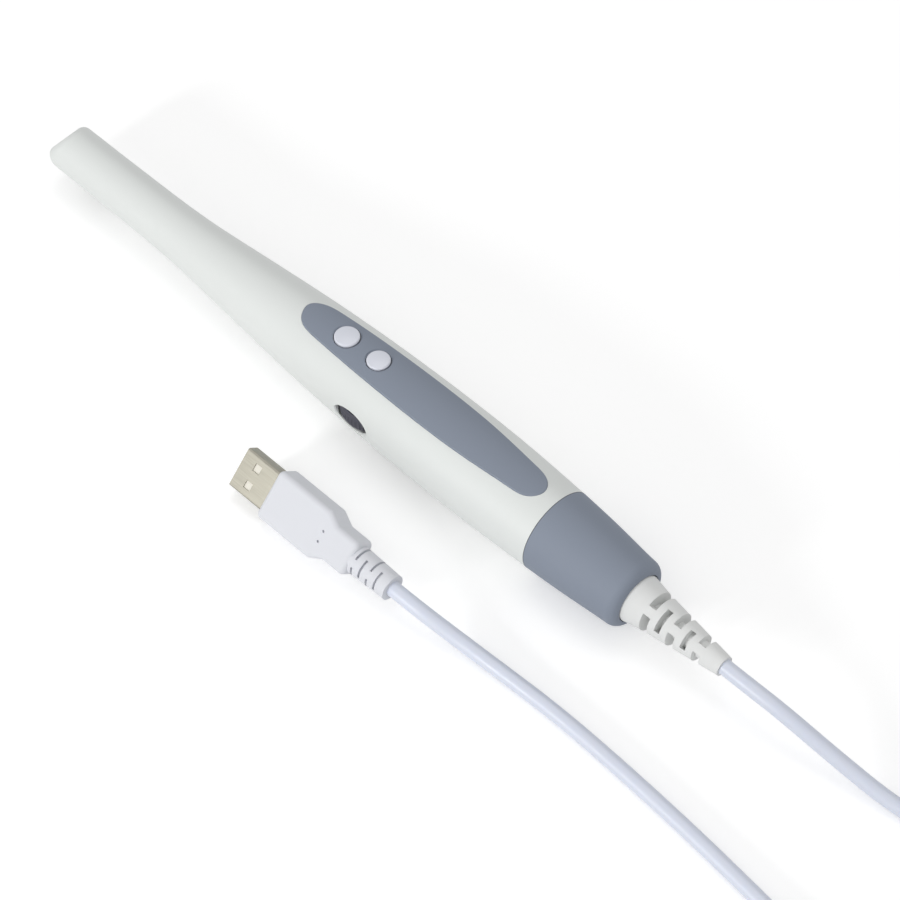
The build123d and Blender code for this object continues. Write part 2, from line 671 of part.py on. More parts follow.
def led_board():
    """Small board round the window, with the view hole in its middle."""
    half = LED_BOARD_LENGTH / 2
    station = WINDOW_AT
    top = head_axis() - BLOCK_FLOOR
    shape = block(station - half, station + half, LED_BOARD_WIDTH / 2, top - BOARD_THICKNESS, top)
    return shape - post(station, 0.0, LIGHT_BORE, top - BOARD_THICKNESS, top)


def leds():
    """Six white LEDs under the board."""
    top = head_axis() - BLOCK_FLOOR - BOARD_THICKNESS
    half = LED_SIZE / 2
    places = [(end * LED_END_PITCH, side * LED_SIDE_PITCH) for end in (-1, 1) for side in (-1, 1)]
    places += [(-LED_FAR_PITCH, 0.0), (LED_FAR_PITCH, 0.0)]
    return [block(WINDOW_AT + along - half, WINDOW_AT + along + half, half,
                  top - LED_HEIGHT, top, side) for along, side in places]


def strip(points, width):
    """A thin flex strip across Y that follows stations and heights."""
    path = Polyline(*[(CAP_END_X + station, AXIS_Z + height) for station, height in points])
    ribbon = offset(path, RIBBON_THICKNESS / 2, side=Side.BOTH)
    return extrude(Plane.XZ * make_face(ribbon), width / 2, both=True)


def led_flex():
    """Flex from the LED board, over the block and along the bore's top to the main board."""
    front = BLOCK_AT + BLOCK_LENGTH + RIBBON_THICKNESS
    roof = head_axis() + NECK_BORE_RADIUS - 2 * RIBBON_THICKNESS
    low = head_axis() - BLOCK_FLOOR - BOARD_THICKNESS / 2
    board_end = WINDOW_AT + LED_BOARD_LENGTH / 2 + RIBBON_THICKNESS / 2
    landing = MAIN_BOARD_TOP + RIBBON_THICKNESS / 2
    points = [(board_end, low), (front, low), (front, roof), (NECK_BORE_AT - RIBBON_BEND, roof),
              (MAIN_BOARD_END, landing), (MAIN_BOARD_END - RIBBON_LANDING, landing)]
    return strip(points, LED_FLEX_WIDTH)


def sensor_holder():
    """Black disc across the neck that holds the image sensor."""
    end = SENSOR_AT + SENSOR_HOLDER_LENGTH
    axis = head_axis()
    half = SENSOR_SIZE / 2 + FIT
    shape = rod(SENSOR_AT, end, NECK_BORE_RADIUS - 2 * FIT, 0.0, axis)
    shape -= block(SENSOR_AT, end, half, axis - half, axis + half)
    shape -= block(SENSOR_AT, end, NECK_BORE_RADIUS, axis + CARRIAGE_FLAT, axis + NECK_BORE_RADIUS)
    return shape - rod(SENSOR_AT, end, ROD_RADIUS + FIT, rod_side(), -ROD_BELOW_AXIS)


def image_sensor():
    """Image sensor in the holder, facing the lenses."""
    half = SENSOR_SIZE / 2
    axis = head_axis()
    return block(SENSOR_AT, SENSOR_AT + SENSOR_THICKNESS, half, axis - half, axis + half)


def sensor_board():
    """Board behind the sensor."""
    axis = head_axis()
    bottom = axis - SENSOR_BOARD_HEIGHT / 2
    return block(SENSOR_AT - BOARD_THICKNESS, SENSOR_AT, SENSOR_BOARD_WIDTH / 2, bottom,
                 bottom + SENSOR_BOARD_HEIGHT)


def sensor_ribbon():
    """Flex ribbon from the sensor's board to the nose of the main board."""
    back = SENSOR_AT - BOARD_THICKNESS - RIBBON_THICKNESS / 2
    landing = MAIN_BOARD_TOP - MAIN_BOARD_THICKNESS - RIBBON_THICKNESS / 2
    pad = RIBBON_PAD / 2
    points = [(back, pad), (back, -pad), (back - RIBBON_BEND, -RIBBON_SAG),
              (MAIN_BOARD_END + RIBBON_BEND, landing - RIBBON_SAG), (MAIN_BOARD_END, landing),
              (MAIN_BOARD_END - RIBBON_LANDING, landing)]
    return strip(points, RIBBON_WIDTH)


def post_places():
    """Stations and sides of the four posts under the main board."""
    rear = [(REAR_POST_AT, side * REAR_POST_SIDE) for side in (-1, 1)]
    front = [(FRONT_POST_AT, side * FRONT_POST_SIDE) for side in (-1, 1)]
    return rear + front


def inner_frame():
    """Moulded frame on the barrel's floor: plate, posts and the rack's guide."""
    bottom = FRAME_TOP - FRAME_THICKNESS
    shape = tapered_plate(FRAME_AT, FRAME_END, FRAME_HALF_WIDTH, FRAME_NOSE_HALF_WIDTH, bottom, FRAME_TOP)
    board_bottom = MAIN_BOARD_TOP - MAIN_BOARD_THICKNESS
    for station, side in post_places():
        shape += post(station, side, POST_RADIUS, FRAME_TOP, board_bottom)
        shape -= post(station, side, SCREW_RADIUS, board_bottom - SCREW_LENGTH, board_bottom)
    guide_side = rod_side() - RACK_BACK / 2 - RUNNING_GAP - GUIDE_THICKNESS / 2
    half = GUIDE_LENGTH / 2
    shape += block(WHEEL_AT - half, WHEEL_AT + half, GUIDE_THICKNESS / 2, FRAME_TOP, -ROD_BELOW_AXIS,
                   guide_side)
    return shape - post(WHEEL_AT, wheel_side(), AXLE_RADIUS, bottom, FRAME_TOP)


def main_board():
    """Green circuit board on the frame's posts."""
    bottom = MAIN_BOARD_TOP - MAIN_BOARD_THICKNESS
    shape = tapered_plate(MAIN_BOARD_AT, MAIN_BOARD_END, MAIN_BOARD_HALF_WIDTH,
                          MAIN_BOARD_NOSE_HALF_WIDTH, bottom, MAIN_BOARD_TOP)
    for station, side in post_places():
        shape -= post(station, side, SCREW_RADIUS + FIT, bottom, MAIN_BOARD_TOP)
    return shape


def board_screws():
    """Four pan-head screws through the board into the posts."""
    board_bottom = MAIN_BOARD_TOP - MAIN_BOARD_THICKNESS
    return [post(station, side, SCREW_HEAD_RADIUS, MAIN_BOARD_TOP, MAIN_BOARD_TOP + SCREW_HEAD_HEIGHT)
            + post(station, side, SCREW_RADIUS, board_bottom - SCREW_LENGTH, MAIN_BOARD_TOP)
            for station, side in post_places()]


def chip(station, length, width, height):
    """A flat component on the main board."""
    return block(station - length / 2, station + length / 2, width / 2, MAIN_BOARD_TOP,
                 MAIN_BOARD_TOP + height)


def connector_start():
    """Station of the lead connector's rear face."""
    return MAIN_BOARD_AT + CONNECTOR_SETBACK


def lead_connector():
    """White connector that takes the lead's inner wires."""
    start = connector_start()
    return chip(start + CONNECTOR_LENGTH / 2, CONNECTOR_LENGTH, CONNECTOR_WIDTH, CONNECTOR_HEIGHT)


def relief_height():
    """Height of the relief's and the lead's axis over the axis of the belly."""
    return -CAP_DROP


def rear_cap(body):
    """Blue-grey end cap with a spigot and its seal groove."""
    bore_height = relief_height() / 2
    shape = body & block(0.0, SEAM_AT, BELLY_RADIUS, -AXIS_Z, BELLY_RADIUS)
    shape += rod(SEAM_AT, SPIGOT_END, BORE_RADIUS - FIT)
    shape -= rod(CAP_END_WALL, SPIGOT_END, CAP_BORE_RADIUS, 0.0, bore_height)
    shape -= rod(0.0, CAP_END_WALL, CAP_OPENING_RADIUS, 0.0, relief_height())
    return shape - seal_groove()


def seal_groove():
    """Ring of space round the spigot for the seal."""
    start = SEAM_AT + SEAL_FROM_SEAM - SEAL_GROOVE_WIDTH / 2
    end = start + SEAL_GROOVE_WIDTH
    return rod(start, end, BORE_RADIUS) - rod(start, end, BORE_RADIUS - 2 * SEAL_RADIUS - FIT)


def cap_seal():
    """Rubber ring that seals the spigot in the barrel."""
    ring = Torus(BORE_RADIUS - SEAL_RADIUS - FIT / 2, SEAL_RADIUS)
    return across(SEAM_AT + SEAL_FROM_SEAM) * ring


def notches(length, core, web, reach):
    """Space on both sides of a relief's core and its upright web, over a length along X."""
    ring = Cylinder(reach, length) - Cylinder(core, length)
    return Rot(0, 90, 0) * ring - Box(length, web, 2 * reach)


def windows(length, core, width, reach):
    """Space over and under a relief's core, over a length along X."""
    ring = Cylinder(reach, length) - Cylinder(core, length)
    return Rot(0, 90, 0) * ring & Box(length, width, 2 * reach)


def strain_relief():
    """White tapered relief: a plain root, then notched blocks with a window in all but the last."""
    height = relief_height()
    flange_end = CAP_END_WALL + RELIEF_FLANGE_LENGTH
    nose_at = -RELIEF_PLAIN_LENGTH
    shape = rod(CAP_END_WALL, flange_end, RELIEF_FLANGE_RADIUS, 0.0, height)
    shape += rod(0.0, CAP_END_WALL, RELIEF_BASE_RADIUS, 0.0, height)
    shape += loft([across(nose_at, 0.0, height) * Circle(RELIEF_NOSE_RADIUS),
                   across(0.0, 0.0, height) * Circle(RELIEF_BASE_RADIUS)])
    shape += loft([across(-RELIEF_LENGTH, 0.0, height) * Circle(RELIEF_END_RADIUS),
                   across(nose_at, 0.0, height) * Circle(RELIEF_NOSE_RADIUS)])
    place = Pos(CAP_END_X, 0, AXIS_Z + height) * Rot(-RELIEF_ROLL, 0, 0)
    pitch = (RELIEF_LENGTH - RELIEF_PLAIN_LENGTH) / RELIEF_BLOCKS
    for i in range(RELIEF_BLOCKS):
        notch_at = nose_at - i * pitch - RELIEF_NOTCH / 2
        shape -= place * Pos(notch_at, 0, 0) * notches(RELIEF_NOTCH, RELIEF_CORE_RADIUS, RELIEF_WEB,
                                                       RELIEF_BASE_RADIUS)
    for i in range(RELIEF_BLOCKS - 1):
        window_at = nose_at - i * pitch - (pitch + RELIEF_NOTCH) / 2
        shape -= place * Pos(window_at, 0, 0) * windows(RELIEF_WINDOW, RELIEF_CORE_RADIUS,
                                                        RELIEF_WINDOW_SHARE * relief_radius(window_at),
                                                        RELIEF_BASE_RADIUS)
    return shape


def relief_radius(station):
    """Radius of the relief's taper at a station behind its plain root."""
    along = (-RELIEF_PLAIN_LENGTH - station) / (RELIEF_LENGTH - RELIEF_PLAIN_LENGTH)
    return RELIEF_NOSE_RADIUS + along * (RELIEF_END_RADIUS - RELIEF_NOSE_RADIUS)


def cord_tail():
    """End of the lead's jacket inside the cap."""
    start = CAP_END_WALL + RELIEF_FLANGE_LENGTH
    return rod(start, start + CORD_TAIL_LENGTH, CORD_RADIUS, 0.0, relief_height())


def cable_clamp():
    """Collar on the jacket that keeps a pull off the inner wires."""
    start = CAP_END_WALL + RELIEF_FLANGE_LENGTH
    end = start + CLAMP_LENGTH
    ring = rod(start, end, CLAMP_RADIUS, 0.0, relief_height())
    return ring - rod(start, end, CORD_RADIUS, 0.0, relief_height())


def inner_wires():
    """Four wires from the jacket's end to the connector."""
    start = CAP_END_WALL + RELIEF_FLANGE_LENGTH + CORD_TAIL_LENGTH
    rise = MAIN_BOARD_TOP + CONNECTOR_HEIGHT / 2 - relief_height()
    wires = []
    for i in range(WIRE_COUNT):
        place = i - (WIRE_COUNT - 1) / 2
        run = Vector(connector_start() - start, place * (CONNECTOR_PITCH - WIRE_PITCH), rise)
        end_face = across(start, place * WIRE_PITCH, relief_height()) * Circle(WIRE_RADIUS)
        wires.append(extrude(end_face, run.length, dir=run))
    return wires


def route_radii(points):
    """Largest smooth radius at each corner of a route, from its shorter run and its turn."""
    radii = []
    for before, corner, after in zip(points, points[1:], points[2:]):
        first, second = corner - before, after - corner
        half_turn = math.radians(first.get_angle(second)) / 2
        radii.append(BEND_SHARE * min(first.length, second.length) / math.tan(half_turn))
    return radii


def cord_along(name, points):
    """A round lead of straight runs joined by tangent arcs."""
    radii = route_radii(points)
    print(name, "radii", [round(radius, 1) for radius in radii])
    path = FilletPolyline(*points, radius=radii)
    start = Plane(origin=points[0], z_dir=path % 0)
    cord = sweep(start * Circle(CORD_RADIUS), path=path)
    print(name, "length", round(path.length, 1), "volume share",
          round(cord.volume / (math.pi * CORD_RADIUS**2 * path.length), 4))
    return cord


def from_cap_end(point):
    """A point of the frame, from a station, a side and a height over the surface."""
    return Vector(CAP_END_X + point[0], point[1], point[2])


def coil_outer_radius():
    """Outer radius of the coil's stack of turns."""
    return COIL_RADIUS + COIL_COLUMNS * CORD_RADIUS


def coil_top():
    """Height of the coil's top."""
    return TIE_THICKNESS + 2 * CORD_RADIUS * COIL_LAYERS


def coil_reach(turn_radius):
    """How far from the coil's middle, along X, a lead at a turn's radius comes to its edge."""
    edge = turn_radius - CORD_RADIUS
    return math.sqrt(coil_outer_radius()**2 - edge**2) - COIL_OVERLAP


def handpiece_cable():
    """Lead from the strain relief down to the surface and on to the coil's lowest outer turn."""
    outer_turn = coil_outer_radius() - CORD_RADIUS
    side = COIL_CENTRE[1] - outer_turn
    start = Vector(CAP_END_X - RELIEF_LENGTH, 0.0, AXIS_Z + relief_height())
    straight = start - Vector(CORD_STRAIGHT, 0.0, 0.0)
    end = from_cap_end((COIL_CENTRE[0] + coil_reach(outer_turn), side, TIE_THICKNESS + CORD_RADIUS))
    return cord_along("handpiece_cable", [start, straight, *map(from_cap_end, HANDPIECE_ROUTE), end])


def plug_cable():
    """Lead from the plug along the surface, then up to the coil's top layer."""
    start = Vector(CAP_END_X + plug_cord_at(), PLUG_SIDE, plug_height())
    straight = start - Vector(CORD_STRAIGHT, 0.0, 0.0)
    end = from_cap_end((COIL_CENTRE[0] + coil_reach(COIL_RADIUS), COIL_CENTRE[1] + COIL_RADIUS,
                        coil_top() - CORD_RADIUS))
    return cord_along("plug_cable", [start, straight, *map(from_cap_end, PLUG_ROUTE), end])


def coil_place():
    """Middle of the coil on the surface."""
    return Pos(CAP_END_X + COIL_CENTRE[0], COIL_CENTRE[1], 0)


def cable_coil():
    """The put-away part of the lead, as one ring of its outer shape."""
    height = coil_top() - TIE_THICKNESS
    ring = Cylinder(coil_outer_radius(), height) - Cylinder(2 * COIL_RADIUS - coil_outer_radius(), height)
    return coil_place() * Pos(0, 0, TIE_THICKNESS + height / 2) * ring


def coil_tie(angle):
    """Flat strap round the coil's bundle."""
    bundle = coil_outer_radius() * 2 - 2 * COIL_RADIUS
    height = coil_top() + TIE_THICKNESS
    outer = Pos(0, 0, height / 2) * Box(bundle + 4 * TIE_THICKNESS, TIE_WIDTH, height)
    inner = Pos(0, 0, height / 2) * Box(bundle + 2 * TIE_THICKNESS, TIE_WIDTH, height - 2 * TIE_THICKNESS)
    return coil_place() * Rot(0, 0, angle) * Pos(COIL_RADIUS, 0, 0) * (outer - inner)


def plug_height():
    """Height of the plug's axis, with the grip rolled on to its long edge."""
    roll = math.radians(PLUG_ROLL)
    corner = GRIP_FILLET
    half_width, half_height = GRIP_WIDTH / 2 - corner, GRIP_HEIGHT / 2 - corner
    return half_width * math.sin(roll) + half_height * math.cos(roll) + corner


def plug_cord_at():
    """Station where the lead enters the plug's relief."""
    grip = GRIP_LENGTH + SHOULDER_LENGTH + PLUG_NECK_LENGTH
    return PLUG_TIP_AT - SHELL_LENGTH - grip - PLUG_RELIEF_LENGTH


def placed_plug(shape):
    """Moves a piece from the plug's own frame, with its tip at the origin, to its place."""
    place = Location((CAP_END_X + PLUG_TIP_AT, PLUG_SIDE, plug_height()), (-PLUG_ROLL, 0, 0))
    return place * shape


def plug_box(start, end, width, height, side=0.0, rise=0.0):
    """A box in the plug's frame, between two distances behind its tip."""
    return Pos(-(start + end) / 2, side, rise) * Box(end - start, width, height)


def plug_shell():
    """Folded steel shell with its two pairs of latch windows."""
    buried = SHELL_LENGTH + SHELL_BURIED
    shape = plug_box(0, buried, SHELL_WIDTH, SHELL_HEIGHT)
    shape = fillet(shape.edges().filter_by(Axis.X), 2 * SHELL_WALL)
    shape -= plug_box(0, buried, SHELL_WIDTH - 2 * SHELL_WALL, SHELL_HEIGHT - 2 * SHELL_WALL)
    end = LATCH_FROM_TIP + LATCH_SIZE
    for side in (-1, 1):
        shape -= plug_box(LATCH_FROM_TIP, end, LATCH_SIZE, 2 * SHELL_HEIGHT, side * LATCH_SIDE)
    return placed_plug(shape)


def plug_tongue():
    """White tongue inside the shell that carries the contacts."""
    width = SHELL_WIDTH - 2 * SHELL_WALL - 2 * FIT
    top = SHELL_HEIGHT / 2 - SHELL_WALL
    shape = plug_box(TONGUE_SETBACK, SHELL_LENGTH + SHELL_BURIED, width, TONGUE_HEIGHT, 0.0,
                     top - TONGUE_HEIGHT / 2)
    return placed_plug(shape)


def plug_contacts():
    """Four gilt contacts under the tongue."""
    rise = SHELL_HEIGHT / 2 - SHELL_WALL - TONGUE_HEIGHT - CONTACT_THICKNESS / 2
    start = 2 * TONGUE_SETBACK
    places = [(i - (CONTACT_COUNT - 1) / 2) * CONTACT_PITCH for i in range(CONTACT_COUNT)]
    return [placed_plug(plug_box(start, start + CONTACT_LENGTH, CONTACT_WIDTH, CONTACT_THICKNESS,
                                 side, rise)) for side in places]


def plug_grip():
    """White moulded grip of the plug: body, shoulders, neck and slotted relief."""
    start = SHELL_LENGTH
    body_end = start + GRIP_LENGTH
    shoulder_end = body_end + SHOULDER_LENGTH
    neck_end = shoulder_end + PLUG_NECK_LENGTH
    wide, narrow = GRIP_WIDTH / 2, PLUG_NECK_WIDTH / 2
    upper = [(-start, wide), (-body_end, wide), (-shoulder_end, narrow), (-neck_end, narrow)]
    lower = [(along, -side) for along, side in reversed(upper)]
    profile = make_face(Polyline(*upper, *lower, close=True))
    shape = extrude(Pos(0, 0, -GRIP_HEIGHT / 2) * profile, GRIP_HEIGHT)
    shape = fillet(shape.edges().filter_by(Axis.Z), GRIP_FILLET)
    shape = fillet(shape.faces().sort_by(Axis.Z)[-1].edges() + shape.faces().sort_by(Axis.Z)[0].edges(),
                   GRIP_FILLET - FIT)
    shape -= plug_box(start, start + SHELL_BURIED, SHELL_WIDTH, SHELL_HEIGHT)
    for side in (-PIN_HOLE_SIDE, PIN_HOLE_SIDE):
        shape -= Pos(-PIN_HOLE_AT, side, GRIP_HEIGHT / 2) * Cylinder(PIN_HOLE_RADIUS, 2 * PIN_HOLE_DEPTH)
    return placed_plug(shape + plug_relief(neck_end))


def plug_relief(neck_end):
    """Relief behind the plug's neck, in the plug's frame: notches and windows by turns."""
    lead_in = Pos(-neck_end, 0, 0) * Rot(0, 90, 0) * Cylinder(PLUG_RELIEF_END_RADIUS, 2 * GRIP_FILLET)
    cone = Cone(PLUG_RELIEF_END_RADIUS, PLUG_RELIEF_RADIUS, PLUG_RELIEF_LENGTH)
    shape = lead_in + Pos(-neck_end - PLUG_RELIEF_LENGTH / 2, 0, 0) * Rot(0, 90, 0) * cone
    for i in range(PLUG_SLIT_COUNT):
        cut = notches if i % 2 == 0 else windows
        width = PLUG_WEB if i % 2 == 0 else PLUG_WINDOW_WIDTH
        slit_at = neck_end + PLUG_SLIT_START + i * PLUG_SLIT_PITCH
        shape -= Pos(-slit_at, 0, 0) * cut(PLUG_SLIT, PLUG_CORE_RADIUS, width, 2 * PLUG_RELIEF_RADIUS)
    return shape


def pieces():
    """Every piece of the camera by its node's name."""
    body = handpiece_body()
    rear_lens_at = CARRIAGE_AT + RETAINER_WIDTH
    front_retainer_at = CARRIAGE_AT + CARRIAGE_LENGTH - RETAINER_WIDTH
    return {
        "barrel": barrel(body),
        "rear_cap": rear_cap(body),
        "control_panel": control_panel(),
        "front_button": button(*FRONT_BUTTON),
        "rear_button": button(*REAR_BUTTON),
        "front_switch_body": switch_body(FRONT_BUTTON_AT),
        "rear_switch_body": switch_body(REAR_BUTTON_AT),
        "front_switch_plunger": switch_plunger(FRONT_BUTTON_AT),
        "rear_switch_plunger": switch_plunger(REAR_BUTTON_AT),
        "focus_wheel": focus_wheel(),
        "wheel_axle": wheel_axle(),
        "axle_clip": axle_clip(),
        "focus_rod": focus_rod(),
        "lens_carriage": lens_carriage(),
        "rear_lens": lens(rear_lens_at),
        "front_lens": lens(front_retainer_at - LENS_THICKNESS),
        "rear_lens_retainer": lens_retainer(CARRIAGE_AT),
        "front_lens_retainer": lens_retainer(front_retainer_at),
        "optics_block": optics_block(),
        "prism": prism(),
        "window_cover": window_cover(),
        "led_board": led_board(),
        "leds": leds(),
        "led_flex": led_flex(),
        "sensor_holder": sensor_holder(),
        "image_sensor": image_sensor(),
        "sensor_board": sensor_board(),
        "sensor_ribbon": sensor_ribbon(),
        "inner_frame": inner_frame(),
        "main_board": main_board(),
        "board_screws": board_screws(),
        "processor_chip": chip(PROCESSOR_AT, PROCESSOR_SIZE, PROCESSOR_SIZE, CHIP_THICKNESS),
        "usb_chip": chip(USB_CHIP_AT, USB_CHIP_SIZE, USB_CHIP_SIZE, CHIP_THICKNESS),
        "crystal": chip(CRYSTAL_AT, CRYSTAL_WIDTH, CRYSTAL_LENGTH, CHIP_THICKNESS),
        "lead_connector": lead_connector(),
        "inner_wires": inner_wires(),
        "cap_seal": cap_seal(),
        "strain_relief": strain_relief(),
        "cord_tail": cord_tail(),
        "cable_clamp": cable_clamp(),
        "handpiece_cable": handpiece_cable(),
        "plug_cable": plug_cable(),
        "cable_coil": cable_coil(),
        "inner_coil_tie": coil_tie(INNER_TIE_ANGLE),
        "outer_coil_tie": coil_tie(OUTER_TIE_ANGLE),
        "plug_grip": plug_grip(),
        "plug_shell": plug_shell(),
        "plug_tongue": plug_tongue(),
        "plug_contacts": plug_contacts(),
    }


os.makedirs("parts", exist_ok=True)
for node, shape in pieces().items():
    if isinstance(shape, list):
        shape = Compound(children=[solid for part in shape for solid in part.solids()])
    export_step(shape, f"parts/{node}.step")
    print(node, "solids", len(shape.solids()), "volume", round(shape.volume, 1))
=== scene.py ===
"""Looks of a wired intraoral camera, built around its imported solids.

The handpiece lies on its belly with its tip in +X, its buttons in +Z and its focus
wheel in +Y. Its lead runs back from the strain relief, is put away in a tied coil
and comes forward again to the plug. Lengths in the classes are millimetres, and
meshes are metres.
"""
import enum
import logging
import math
from dataclasses import dataclass, field
from typing import Any, Sequence

import bpy
import numpy as np
from mathutils import Matrix, Vector


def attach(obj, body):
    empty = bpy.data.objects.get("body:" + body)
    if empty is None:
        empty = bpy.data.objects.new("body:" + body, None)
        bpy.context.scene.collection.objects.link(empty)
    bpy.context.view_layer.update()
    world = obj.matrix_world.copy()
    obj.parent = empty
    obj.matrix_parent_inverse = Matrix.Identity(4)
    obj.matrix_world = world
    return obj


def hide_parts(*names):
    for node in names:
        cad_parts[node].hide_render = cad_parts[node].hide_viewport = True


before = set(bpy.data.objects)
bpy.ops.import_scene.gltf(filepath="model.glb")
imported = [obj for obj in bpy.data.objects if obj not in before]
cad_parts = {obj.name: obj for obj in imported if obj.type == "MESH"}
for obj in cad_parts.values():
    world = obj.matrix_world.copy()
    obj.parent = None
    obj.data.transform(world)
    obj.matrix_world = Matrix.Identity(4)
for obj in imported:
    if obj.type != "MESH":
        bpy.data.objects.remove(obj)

LOG = logging.getLogger("intraoral_camera")
MM = 0.001

# Rear end of the cap and height of the barrel's axis, as in the part's source
CAP_END_X = -96.45
AXIS_Z = 13.1

# The sRGB transfer curve
LEVELS = 255.0
CURVE_KNEE = 0.04045
CURVE_SLOPE = 12.92
CURVE_OFFSET = 0.055
CURVE_POWER = 2.4

WHITE = (1.0, 1.0, 1.0, 1.0)


def linear(red: int, green: int, blue: int) -> tuple[float, float, float, float]:
    """Turns a display colour of 0 to 255 into the linear colour that shaders take.

    Args:
        red: Red of the display colour.
        green: Green of the display colour.
        blue: Blue of the display colour.

    Returns:
        Linear red, green and blue with an alpha of 1.
    """
    shares = np.array([red, green, blue]) / LEVELS
    low = shares / CURVE_SLOPE
    high = ((shares + CURVE_OFFSET) / (1 + CURVE_OFFSET)) ** CURVE_POWER
    return (*(float(v) for v in np.where(shares <= CURVE_KNEE, low, high)), 1.0)


class NodeSheet:
    """A node tree that is being filled, with one call to add a node and feed it."""

    def __init__(self, tree: bpy.types.NodeTree) -> None:
        """Empties the tree and keeps it.

        Args:
            tree: The node tree to fill.
        """
        self.tree = tree
        tree.nodes.clear()

    def add(self, kind: str, feeds: dict[Any, Any] | None = None, **settings: Any) -> bpy.types.Node:
        """Adds a node, sets its options and fills its inputs.

        Args:
            kind: The node's type name.
            feeds: Input name or number to a value, or to an output socket to join.
            **settings: Options of the node itself.

        Returns:
            The new node.
        """
        node = self.tree.nodes.new(kind)
        for name, value in settings.items():
            setattr(node, name, value)
        self.feed(node, feeds or {})
        return node

    def feed(self, node: bpy.types.Node, feeds: dict[Any, Any]) -> None:
        """Fills a node's inputs.

        Args:
            node: The node.
            feeds: Input name or number to a value, or to an output socket to join.
        """
        for key, value in feeds.items():
            if isinstance(value, bpy.types.NodeSocket):
                self.tree.links.new(value, node.inputs[key])
            else:
                node.inputs[key].default_value = value


class Effect(enum.Enum):
    """The shader node groups that several finishes share."""

    GRAIN = "moulded_grain"
    MARKS = "handling_marks"
    BRUSH = "brushed_lines"


